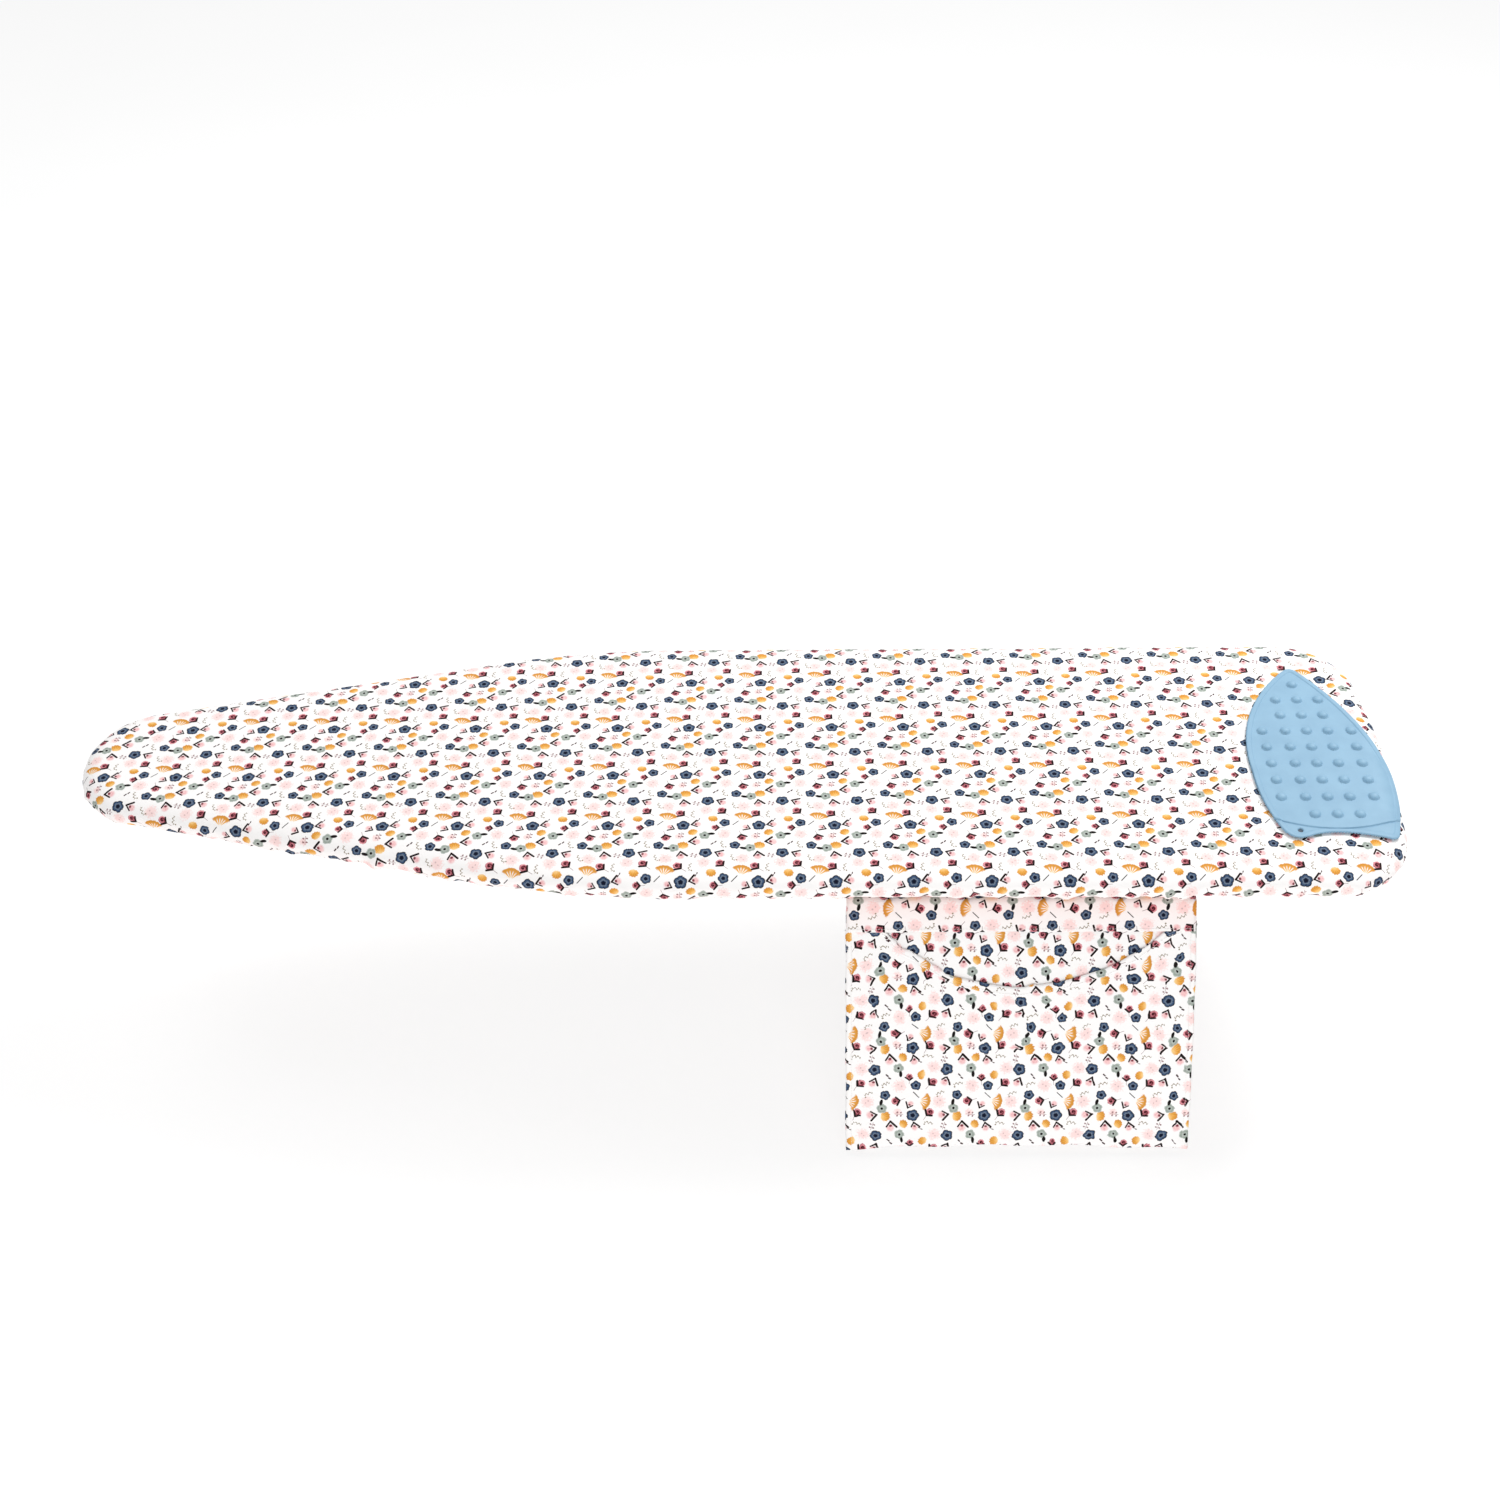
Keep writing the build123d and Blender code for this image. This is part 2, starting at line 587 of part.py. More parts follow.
# The casing sewn along the cover's lower edge, with the elastic inside it
casing_z = BASE_Z + COVER_THICKNESS / 2 - CASING_THICKNESS / 2
channel_inset = HEM_INSET + (CASING_WIDTH - ELASTIC_WIDTH) / 2
channel_z = casing_z + (CASING_THICKNESS - ELASTIC_THICKNESS) / 2
with BuildPart() as hem_casing:
    extrude(board_face(HEM_INSET, casing_z), amount=CASING_THICKNESS)
    extrude(board_face(HEM_INSET + CASING_WIDTH, casing_z), amount=CASING_THICKNESS, mode=Mode.SUBTRACT)
    extrude(
        board_face(channel_inset - SLOT_CLEARANCE, channel_z - SLOT_CLEARANCE)
        - board_face(channel_inset + ELASTIC_WIDTH + SLOT_CLEARANCE, channel_z - SLOT_CLEARANCE),
        amount=ELASTIC_THICKNESS + 2 * SLOT_CLEARANCE,
        mode=Mode.SUBTRACT,
    )
save(hem_casing.part, "hem_casing")

with BuildPart() as hem_elastic:
    extrude(
        board_face(channel_inset, channel_z) - board_face(channel_inset + ELASTIC_WIDTH, channel_z),
        amount=ELASTIC_THICKNESS,
    )
save(hem_elastic.part, "hem_elastic")

# Elastic straps that draw the two sides of the hem together under the board
strap_z = BASE_Z + COVER_THICKNESS / 2 - STRAP_THICKNESS / 2
for strap_name, strap_x in STRAP_X.items():
    with BuildPart() as strap:
        strap_half = half_width_at(strap_x) - HEM_INSET - CASING_WIDTH - STRAP_END_GAP
        with BuildSketch(Plane.XY.offset(strap_z)):
            with Locations((strap_x, 0)):
                Rectangle(STRAP_WIDTH, 2 * strap_half)
        extrude(amount=STRAP_THICKNESS)
    save(strap.part, strap_name)

# A clip at each end of each strap, slotted for the casing on one side and the strap on the other
clip_z = BASE_Z + COVER_THICKNESS / 2 - CLIP_THICKNESS / 2
with BuildPart() as strap_clips:
    for strap_x in STRAP_X.values():
        edge = half_width_at(strap_x) - HEM_INSET - CASING_WIDTH
        for side in (-1, 1):
            with BuildSketch(Plane.XY.offset(clip_z)):
                with Locations((strap_x, side * (edge - CLIP_OVERLAP))):
                    RectangleRounded(CLIP_WIDTH, CLIP_LENGTH, CLIP_CORNER_RADIUS)
            extrude(amount=CLIP_THICKNESS)
            with BuildSketch(Plane.XY.offset(casing_z - SLOT_CLEARANCE)):
                with Locations((strap_x, side * (edge + CLIP_CASING_SLOT))):
                    Rectangle(CLIP_WIDTH + 1.0, CLIP_SLOT_DEPTH)
            extrude(amount=CASING_THICKNESS + 2 * SLOT_CLEARANCE, mode=Mode.SUBTRACT)
            with BuildSketch(Plane.XY.offset(strap_z - SLOT_CLEARANCE)):
                with Locations((strap_x, side * (edge - CLIP_STRAP_SLOT))):
                    Rectangle(STRAP_WIDTH + 4 * SLOT_CLEARANCE, CLIP_STRAP_DEPTH)
            extrude(amount=STRAP_THICKNESS + 2 * SLOT_CLEARANCE, mode=Mode.SUBTRACT)
save(strap_clips.part, "strap_clips")


def mat_outline(grow, height):
    """The iron rest mat's outline, pointed at the back and hollow at the front, grown or shrunk."""
    with BuildSketch(Plane(origin=(MAT_X, 0, height))) as face:
        with BuildLine():
            ThreePointArc((0, MAT_TIP_Y), MAT_TAIL_SHOULDER, (MAT_HALF_WIDTH, MAT_BELLY_Y))
            ThreePointArc((MAT_HALF_WIDTH, MAT_BELLY_Y), MAT_WAIST, (MAT_CORNER_HALF, MAT_CORNER_Y))
            ThreePointArc(
                (MAT_CORNER_HALF, MAT_CORNER_Y),
                (0, MAT_CORNER_Y + MAT_HOLLOW),
                (-MAT_CORNER_HALF, MAT_CORNER_Y),
            )
            ThreePointArc(
                (-MAT_CORNER_HALF, MAT_CORNER_Y),
                (-MAT_WAIST[0], MAT_WAIST[1]),
                (-MAT_HALF_WIDTH, MAT_BELLY_Y),
            )
            ThreePointArc((-MAT_HALF_WIDTH, MAT_BELLY_Y), MAT_NOSE_SHOULDER, (0, MAT_TIP_Y))
        make_face()
        fillet(face.vertices().sort_by(Axis.Y)[-1], radius=MAT_TIP_RADIUS)
        fillet(face.vertices().sort_by(Axis.Y)[:2], radius=MAT_CORNER_RADIUS)
        if grow:
            offset(amount=grow)
    return face.sketch


# The silicone iron rest: a plate with a raised lip, a step line, rows of domes and a hang hole
mat_z = TOP_Z + CLEARANCE
mat_top = mat_z + MAT_THICKNESS
step_low = STEP_END_Y - STEP_WIDTH
with BuildPart() as iron_rest_mat:
    extrude(mat_outline(0, mat_z), amount=MAT_THICKNESS + MAT_LIP_HEIGHT)
    extrude(mat_outline(-MAT_LIP_WIDTH, mat_top), amount=MAT_LIP_HEIGHT, mode=Mode.SUBTRACT)
    for row, count in enumerate(DOME_ROWS):
        dome_y = DOME_FIRST_Y - row * DOME_PITCH_Y
        with BuildSketch(Plane(origin=(MAT_X + DOME_X, dome_y, mat_top))):
            with GridLocations(DOME_PITCH_X, 1, count, 1):
                Circle(DOME_RADIUS)
        extrude(amount=DOME_HEIGHT)
    fillet(iron_rest_mat.edges().group_by(Axis.Z)[-1], radius=DOME_EDGE_RADIUS)
    with BuildSketch(Plane(origin=(MAT_X, 0, mat_top - STEP_DEPTH))):
        with BuildLine():
            ThreePointArc((-STEP_HALF, STEP_END_Y), (0, STEP_END_Y - STEP_SAG), (STEP_HALF, STEP_END_Y))
            Line((STEP_HALF, STEP_END_Y), (STEP_HALF, step_low))
            ThreePointArc((STEP_HALF, step_low), (0, step_low - STEP_SAG), (-STEP_HALF, step_low))
            Line((-STEP_HALF, step_low), (-STEP_HALF, STEP_END_Y))
        make_face()
    extrude(amount=STEP_DEPTH + MAT_LIP_HEIGHT, mode=Mode.SUBTRACT)
    with BuildSketch(Plane.XY.offset(mat_z)):
        with Locations((MAT_X + HANG_HOLE[0], HANG_HOLE[1])):
            Circle(HANG_HOLE_RADIUS)
    extrude(amount=2 * MAT_THICKNESS, mode=Mode.SUBTRACT)
save(iron_rest_mat.part, "iron_rest_mat")

# The pocket hangs from a tab sewn under the front edge. Its pieces are drawn on the pocket's own plane,
# whose local +Y runs up to the hinge line and whose +Z faces out from the board.
tilt = math.radians(POCKET_TILT)
hinge_z = BASE_Z - POCKET_CLOTH - CLEARANCE
hinge_point = (POCKET_CENTRE_X, POCKET_HINGE_Y, hinge_z)
outward = (0, -math.cos(tilt), math.sin(tilt))
pocket_plane = Plane(origin=hinge_point, x_dir=(1, 0, 0), z_dir=outward)
side_plane = Plane(
    origin=(POCKET_CENTRE_X + POCKET_WIDTH / 2, POCKET_HINGE_Y, hinge_z),
    x_dir=outward,
    z_dir=(-1, 0, 0),
)

with BuildPart() as pocket_tab:
    with BuildSketch(Plane.XY.offset(BASE_Z - POCKET_CLOTH)):
        with Locations((POCKET_CENTRE_X, POCKET_HINGE_Y + POCKET_TAB_DEPTH / 2)):
            Rectangle(POCKET_WIDTH - 2 * BINDING_THICKNESS, POCKET_TAB_DEPTH)
    extrude(amount=POCKET_CLOTH)
save(pocket_tab.part, "pocket_tab")

with BuildPart() as pocket_band:
    with BuildSketch(pocket_plane):
        with Locations((0, -BAND_START)):
            Rectangle(
                POCKET_WIDTH - 2 * BINDING_THICKNESS,
                BAND_DEPTH - BAND_START,
                align=(Align.CENTER, Align.MAX),
            )
    extrude(amount=POCKET_CLOTH)
save(pocket_band.part, "pocket_band")

with BuildPart() as pocket_back:
    with BuildSketch(pocket_plane.offset(-POCKET_CLOTH)):
        with Locations((0, -BACK_TOP / 4)):
            Rectangle(
                POCKET_WIDTH - 2 * BINDING_THICKNESS,
                POCKET_DROP - BACK_TOP / 4,
                align=(Align.CENTER, Align.MAX),
            )
    extrude(amount=POCKET_CLOTH)
save(pocket_back.part, "pocket_back")

gap_slope = (MOUTH_GAP - FOOT_GAP) / (POCKET_DROP - MOUTH_TOP)


def pouch(shrink, ends):
    """The wedge between the back and the front panel, shrunk by a cloth thickness, cut off at its ends."""
    start = MOUTH_TOP + POCKET_CLOTH + POUCH_START
    foot = POCKET_DROP - shrink
    with BuildPart() as wedge:
        with BuildSketch(side_plane.offset(BINDING_THICKNESS + ends)):
            Polygon(
                (0, -start),
                (MOUTH_GAP - gap_slope * (start - MOUTH_TOP) - shrink, -start),
                (FOOT_GAP + gap_slope * shrink - shrink, -foot),
                (0, -foot),
                align=None,
            )
        extrude(amount=POCKET_WIDTH - 2 * BINDING_THICKNESS - 2 * ends)
    return wedge.part


def above_mouth(lower):
    """A tall block above the sagging mouth line, lowered by some width: what is cut away at the mouth."""
    half = POCKET_WIDTH / 2 + POCKET_CLOTH
    bend = half - MOUTH_SIDE
    edge_v = -MOUTH_TOP - MOUTH_DROP - lower
    with BuildPart() as block:
        with BuildSketch(pocket_plane.offset(-2 * POCKET_CLOTH)):
            with BuildLine():
                Line((-half, ABOVE_MOUTH), (-half, edge_v))
                Line((-half, edge_v), (-bend, edge_v))
                ThreePointArc((-bend, edge_v), (0, -MOUTH_TOP - MOUTH_SAG - lower), (bend, edge_v))
                Line((bend, edge_v), (half, edge_v))
                Line((half, edge_v), (half, ABOVE_MOUTH))
                Line((half, ABOVE_MOUTH), (-half, ABOVE_MOUTH))
            make_face()
        extrude(amount=MOUTH_BLOCK)
    return block.part


with BuildPart() as pocket_front:
    add(pouch(0, 0))
    add(pouch(POCKET_CLOTH, POCKET_CLOTH), mode=Mode.SUBTRACT)
    add(above_mouth(0), mode=Mode.SUBTRACT)
save(pocket_front.part, "pocket_front")

# The hem turned in behind the mouth of the front panel
with BuildPart() as mouth_hem:
    add(pouch(POCKET_CLOTH, POCKET_CLOTH))
    add(pouch(2 * POCKET_CLOTH, 2 * POCKET_CLOTH), mode=Mode.SUBTRACT)
    add(above_mouth(0), mode=Mode.SUBTRACT)
    add(above_mouth(MOUTH_HEM_WIDTH) - above_mouth(-1.0), mode=Mode.INTERSECT)
save(mouth_hem.part, "mouth_hem")

# A binding strip closes each side of the pocket
for binding_name, binding_offset in (
    ("pocket_binding_tail", 0.0),
    ("pocket_binding_nose", POCKET_WIDTH - BINDING_THICKNESS),
):
    with BuildPart() as binding:
        with BuildSketch(side_plane.offset(binding_offset)):
            Polygon(
                (-POCKET_CLOTH, -BACK_TOP),
                (POCKET_CLOTH, -BACK_TOP),
                (MOUTH_GAP - BINDING_SLACK, -MOUTH_TOP - BINDING_SHOULDER),
                (FOOT_GAP, -POCKET_DROP),
                (-POCKET_CLOTH, -POCKET_DROP),
                align=None,
            )
        extrude(amount=BINDING_THICKNESS)
    save(binding.part, binding_name)
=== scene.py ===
"""The looks of a padded ironing board top: printed cotton cover, silicone iron rest and hanging pocket.

Metres: +X from the nose to the tail, +Y to the back edge, +Z up.
"""

import json
import math

import bpy
import numpy as np
from mathutils import Matrix, Vector


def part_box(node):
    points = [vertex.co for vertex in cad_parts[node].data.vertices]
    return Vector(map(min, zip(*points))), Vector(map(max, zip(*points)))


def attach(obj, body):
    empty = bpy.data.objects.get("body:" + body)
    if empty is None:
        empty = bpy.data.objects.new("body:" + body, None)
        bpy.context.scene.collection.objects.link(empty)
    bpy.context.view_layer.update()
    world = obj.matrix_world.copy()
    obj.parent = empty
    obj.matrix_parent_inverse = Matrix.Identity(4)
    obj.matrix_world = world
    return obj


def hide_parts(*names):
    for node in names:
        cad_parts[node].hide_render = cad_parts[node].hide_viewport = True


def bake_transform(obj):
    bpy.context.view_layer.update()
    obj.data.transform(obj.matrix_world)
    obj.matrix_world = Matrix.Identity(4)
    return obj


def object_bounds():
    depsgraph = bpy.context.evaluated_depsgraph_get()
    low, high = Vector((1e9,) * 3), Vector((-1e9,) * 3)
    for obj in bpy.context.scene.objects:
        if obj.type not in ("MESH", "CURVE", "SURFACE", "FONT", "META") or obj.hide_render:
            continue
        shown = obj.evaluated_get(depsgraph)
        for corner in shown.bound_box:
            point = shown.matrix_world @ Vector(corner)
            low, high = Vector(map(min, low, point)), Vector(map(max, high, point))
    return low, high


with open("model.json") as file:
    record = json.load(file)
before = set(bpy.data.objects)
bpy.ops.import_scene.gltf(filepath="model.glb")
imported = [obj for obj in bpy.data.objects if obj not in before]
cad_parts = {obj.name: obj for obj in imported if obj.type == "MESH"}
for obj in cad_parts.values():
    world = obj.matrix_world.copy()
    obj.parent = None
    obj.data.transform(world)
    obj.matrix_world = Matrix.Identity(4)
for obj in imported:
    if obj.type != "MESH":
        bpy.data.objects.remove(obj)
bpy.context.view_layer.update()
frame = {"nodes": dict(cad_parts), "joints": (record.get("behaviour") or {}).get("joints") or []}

MM = 0.001
SEED = 7

# Places taken from the frame
cover_low, cover_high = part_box("cotton_cover")
back_low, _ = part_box("pocket_back")
tab_low, tab_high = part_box("pocket_tab")
mat_low, mat_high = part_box("iron_rest_mat")
panel_low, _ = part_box("mesh_panel")
NOSE_X = cover_low.x
TAIL_X = cover_high.x
HALF_WIDTH = cover_high.y
BASE_Z = cover_low.z
TOP_Z = cover_high.z
EDGE_RADIUS = (TOP_Z - BASE_Z) / 2
MIDDLE_Z = (TOP_Z + BASE_Z) / 2
MAT_X = (mat_low.x + mat_high.x) / 2

# The board's outline
NOSE_HALF_WIDTH = 0.0667
BEND_FROM_NOSE = 0.522
NOSE_RADIUS = 0.080
BEND_RADIUS = 0.900
TAIL_RADIUS = 0.082
TAIL_BOW_RADIUS = 0.700
TAIL_SLOPE = 0.015 / HALF_WIDTH
TAIL_LEAN = math.atan(TAIL_SLOPE)
TAIL_TIP_X = TAIL_X + TAIL_BOW_RADIUS * (1 / math.cos(TAIL_LEAN) - 1)

# How far apart the points round the board are
COVER_STEP = 0.0032
HEM_STEP = 0.0040
PAD_STEP = 0.0080

# The cover: how wide its top edge rounds over, its rings, its gathers and its hem
SHOULDER = 0.026
TOP_RINGS = 44
EDGE_RINGS = 21
UNDER_RINGS = 11
FOLD_COUNT = 620
FOLD_HEIGHT = 0.0019
COVER_SINK = 0.0006
HEM_INSET = 0.054
CASING_WIDTH = 0.008
HEM_Z = BASE_Z + 0.0005
HEM_WAVES = 420

# The silicone iron rest
MAT_PLATE = 0.0020
MAT_LIP = 0.0008
MAT_LIP_WIDTH = 0.0060
DOME_RADIUS = 0.0055
DOME_RISE = 0.0036
DOME_TOP_ROW_Y = 0.105
DOME_PITCH_Y = 0.02575
DOME_ROWS = (1, 3, 3, 5, 5, 5, 5, 5, 3)
DOME_COLUMNS = {1: (0.0,), 3: (-0.0225, 0.0, 0.0225), 5: (-0.0465, -0.0222, 0.0, 0.0222, 0.0465)}
MAT_COLUMNS = 301
MAT_ROWS = 361
MAT_UNDER_EVERY = 30
HANG_HOLE = (MAT_X - 0.040, -0.124)
HANG_HOLE_RADIUS = 0.0026

# The print repeats every tile in both directions
TILE = 0.0760
DYE_DEPTH = 0.38
MOTIF_SIZE = 1.1
THREAD_PITCH = 0.00042


# ---------------------------------------------------------------- meshes


def make_mesh(name, points, faces, cloth=None, smooth=True):
    """A mesh object from points and faces, with cloth coordinates in metres as its UV map."""
    mesh = bpy.data.meshes.new(name)
    mesh.from_pydata([tuple(p) for p in points], [], faces)
    mesh.update()
    if cloth is not None:
        layer = mesh.uv_layers.new(name="cloth")
        index = np.zeros(len(mesh.loops), np.int32)
        mesh.loops.foreach_get("vertex_index", index)
        layer.data.foreach_set("uv", np.asarray(cloth, np.float32)[index].ravel())
    if smooth:
        mesh.polygons.foreach_set("use_smooth", [True] * len(mesh.polygons))
    piece = bpy.data.objects.new(name, mesh)
    bpy.context.scene.collection.objects.link(piece)
    return piece


def grid_faces(rows, columns, wrap=False, close=False):
    """Quads of a grid: wrap joins the last column to the first, and close the last row to the first."""
    faces = []
    for row in range(rows if close else rows - 1):
        here, below = row * columns, (row + 1) % rows * columns
        for column in range(columns if wrap else columns - 1):
            right = (column + 1) % columns
            faces.append((here + column, here + right, below + right, below + column))
    return faces


def spine_faces(count, first=0, flip=False):
    """Quads that join the two sides of the innermost ring, which is nearly a line down the board's middle."""
    faces = [(i + 1, i, count - 1 - i, count - 2 - i) for i in range(count // 2 - 1)]
    return [tuple(first + k for k in (reversed(face) if flip else face)) for face in faces]


def apply_modifiers(piece):
    """Replaces the piece's mesh by what its modifiers make of it."""
    bpy.context.view_layer.update()
    graph = bpy.context.evaluated_depsgraph_get()
    mesh = bpy.data.meshes.new_from_object(piece.evaluated_get(graph))
    piece.modifiers.clear()
    piece.data = mesh
    return piece


def thicken(piece, thickness, offset=-1.0):
    solid = piece.modifiers.new("Thickness", "SOLIDIFY")
    solid.thickness = thickness
    solid.offset = offset
    return apply_modifiers(piece)


def smoothstep(low, high, x):
    t = np.clip((x - low) / (high - low), 0.0, 1.0)
    return t * t * (3 - 2 * t)


def soft_noise(x, y, size, seed):
    """Smooth noise of about -1 to 1: a few crossing waves with fixed random headings."""
    rng = np.random.default_rng(seed)
    total = np.zeros_like(x)
    for _ in range(9):
        heading = rng.uniform(0, math.tau)
        length = size * rng.uniform(0.6, 1.7)
        phase = rng.uniform(0, math.tau)
        total += np.sin((x * math.cos(heading) + y * math.sin(heading)) * math.tau / length + phase)
    return total / 4.5


def reach_along(path):
    """The arc length at each point of a path."""
    return np.concatenate([[0.0], np.cumsum(np.linalg.norm(np.diff(path, axis=0), axis=1))])


def read_off(places, reach, rows):
    """What a path's rows come to at places along it."""
    return np.column_stack([np.interp(places, reach, column) for column in np.transpose(rows)])


# ---------------------------------------------------------------- the outline


def round_corner(before, corner, after, radius, step):
    """Points and outward normals of the arc that rounds one corner of a path that turns left."""
    before, corner, after = np.array(before), np.array(corner), np.array(after)
    way_in = (corner - before) / np.linalg.norm(corner - before)
    way_out = (after - corner) / np.linalg.norm(after - corner)
    turn = math.acos(float(np.clip(way_in @ way_out, -1, 1)))
    normal = np.array([way_in[1], -way_in[0]])
    centre = corner - way_in * radius * math.tan(turn / 2) - normal * radius
    angles = np.linspace(0, turn, max(6, int(turn * radius / step)))
    turned = np.outer(np.cos(angles), normal) + np.outer(np.sin(angles), (-normal[1], normal[0]))
    return centre + turned * radius, turned


def outline(step):
    """Points, outward normals and arc lengths round the board: its back half, then its mirror image."""
    tip = (TAIL_TIP_X, 0.0)
    tail = (TAIL_TIP_X - HALF_WIDTH * TAIL_SLOPE, HALF_WIDTH)
    bend = (NOSE_X + BEND_FROM_NOSE, HALF_WIDTH)
    nose = (NOSE_X, NOSE_HALF_WIDTH)
    path = [
        round_corner((tail[0], -tail[1]), tip, tail, TAIL_BOW_RADIUS, step / 2),
        round_corner(tip, tail, bend, TAIL_RADIUS, step / 2),
        round_corner(tail, bend, nose, BEND_RADIUS, step / 2),
        round_corner(bend, nose, (NOSE_X, 0.0), NOSE_RADIUS, step / 2),
    ]
    dense = np.concatenate([arc[0] for arc in path] + [np.array([[NOSE_X, 0.0]])])
    heading = np.concatenate([arc[1] for arc in path] + [np.array([[-1.0, 0.0]])])
    back = dense[:, 1] >= 0
    dense = np.vstack([[TAIL_X, 0.0], dense[back]])
    heading = np.vstack([[1.0, 0.0], heading[back]])
    reach = reach_along(dense)
    count = int(reach[-1] / step)
    places = (np.arange(count) + 0.5) * reach[-1] / count
    points, normals = read_off(places, reach, dense), read_off(places, reach, heading)
    points = np.vstack([points, points[::-1] * (1, -1)])
    normals = np.vstack([normals, normals[::-1] * (1, -1)])
    normals /= np.linalg.norm(normals, axis=1)[:, None]
    return points, normals, reach_along(points)


def edge_distance(x, y):
    """How far inside the board's edge each point is."""
    x, y = np.broadcast_arrays(np.asarray(x, float), np.abs(y))
    slope = math.atan2(HALF_WIDTH - NOSE_HALF_WIDTH, BEND_FROM_NOSE)
    to_lean = (NOSE_HALF_WIDTH + (x - NOSE_X) * math.tan(slope) - y) * math.cos(slope)
    to_tail = (TAIL_TIP_X - y * TAIL_SLOPE - x) * math.cos(TAIL_LEAN)
    distance = np.minimum(np.minimum(HALF_WIDTH - y, to_lean), np.minimum(to_tail, x - NOSE_X))
    bow_x = TAIL_X - TAIL_BOW_RADIUS
    bow = y < (x - bow_x) * TAIL_SLOPE
    within_bow = TAIL_BOW_RADIUS - np.hypot(x - bow_x, y)
    distance = np.where(bow, np.minimum(distance, within_bow), distance)
    corner_y = HALF_WIDTH - TAIL_RADIUS
    corner_x = TAIL_TIP_X - corner_y * TAIL_SLOPE - TAIL_RADIUS / math.cos(TAIL_LEAN)
    far_x, far_y = x - corner_x, y - corner_y
    corner = (far_x > 0) & (far_y > far_x * TAIL_SLOPE)
    within_corner = TAIL_RADIUS - np.hypot(far_x, far_y)
    distance = np.where(corner, np.minimum(distance, within_corner), distance)
    nose_x, nose_y = NOSE_X + NOSE_RADIUS, 0.004
    nose = (x < nose_x) & (y > nose_y)
    within_nose = NOSE_RADIUS - np.hypot(x - nose_x, y - nose_y)
    return np.where(nose, np.minimum(distance, within_nose), distance)


def edge_profile(count):
    """The cover's rounded edge from the top to the base: insets, heights, slopes and arc lengths."""
    turns = np.linspace(0, math.pi, count)
    widths = np.where(turns <= math.pi / 2, SHOULDER, EDGE_RADIUS)
    insets = widths * (1 - np.sin(turns))
    heights = MIDDLE_Z + EDGE_RADIUS * np.cos(turns)
    outs = np.sin(turns) / widths
    ups = np.cos(turns) / EDGE_RADIUS
    size = np.hypot(outs, ups)
    steps = np.hypot(np.diff(insets), np.diff(heights))
    return insets, heights, outs / size, ups / size, np.concatenate([[0.0], np.cumsum(steps)])


def spine_points(points):
    """For each outline point, the nearest point of a line down the board's middle."""
    x = np.clip(points[:, 0], NOSE_X + NOSE_RADIUS + 0.01, TAIL_X - HALF_WIDTH + 0.012)
    lean = 0.55 * (points[:, 0] - x)
    return np.column_stack([x + np.clip(lean, -0.02, 0.06), np.zeros(len(x))])


# ---------------------------------------------------------------- node graphs


def linear(red, green, blue):
    """A screen colour from 0 to 255 as linear light."""
    return tuple(
        (c / 255 / 12.92) if c / 255 <= 0.04045 else ((c / 255 + 0.055) / 1.055) ** 2.4
        for c in (red, green, blue)
    ) + (1.0,)


def dye(red, green, blue):
    """A dyed thread's colour, deeper than it looks under the studio light."""
    return tuple(c * DYE_DEPTH for c in linear(red, green, blue)[:3]) + (1.0,)


class Number:
    """One number in a node graph, with the arithmetic that shapes are written in."""

    def __init__(self, graph, socket):
        self.graph = graph
        self.socket = socket

    def __add__(self, other):
        return self.graph.math("ADD", self, other)

    def __sub__(self, other):
        return self.graph.math("SUBTRACT", self, other)

    def __rsub__(self, other):
        return self.graph.math("SUBTRACT", other, self)

    def __mul__(self, other):
        return self.graph.math("MULTIPLY", self, other)

    def __truediv__(self, other):
        return self.graph.math("DIVIDE", self, other)

    __radd__ = __add__
    __rmul__ = __mul__


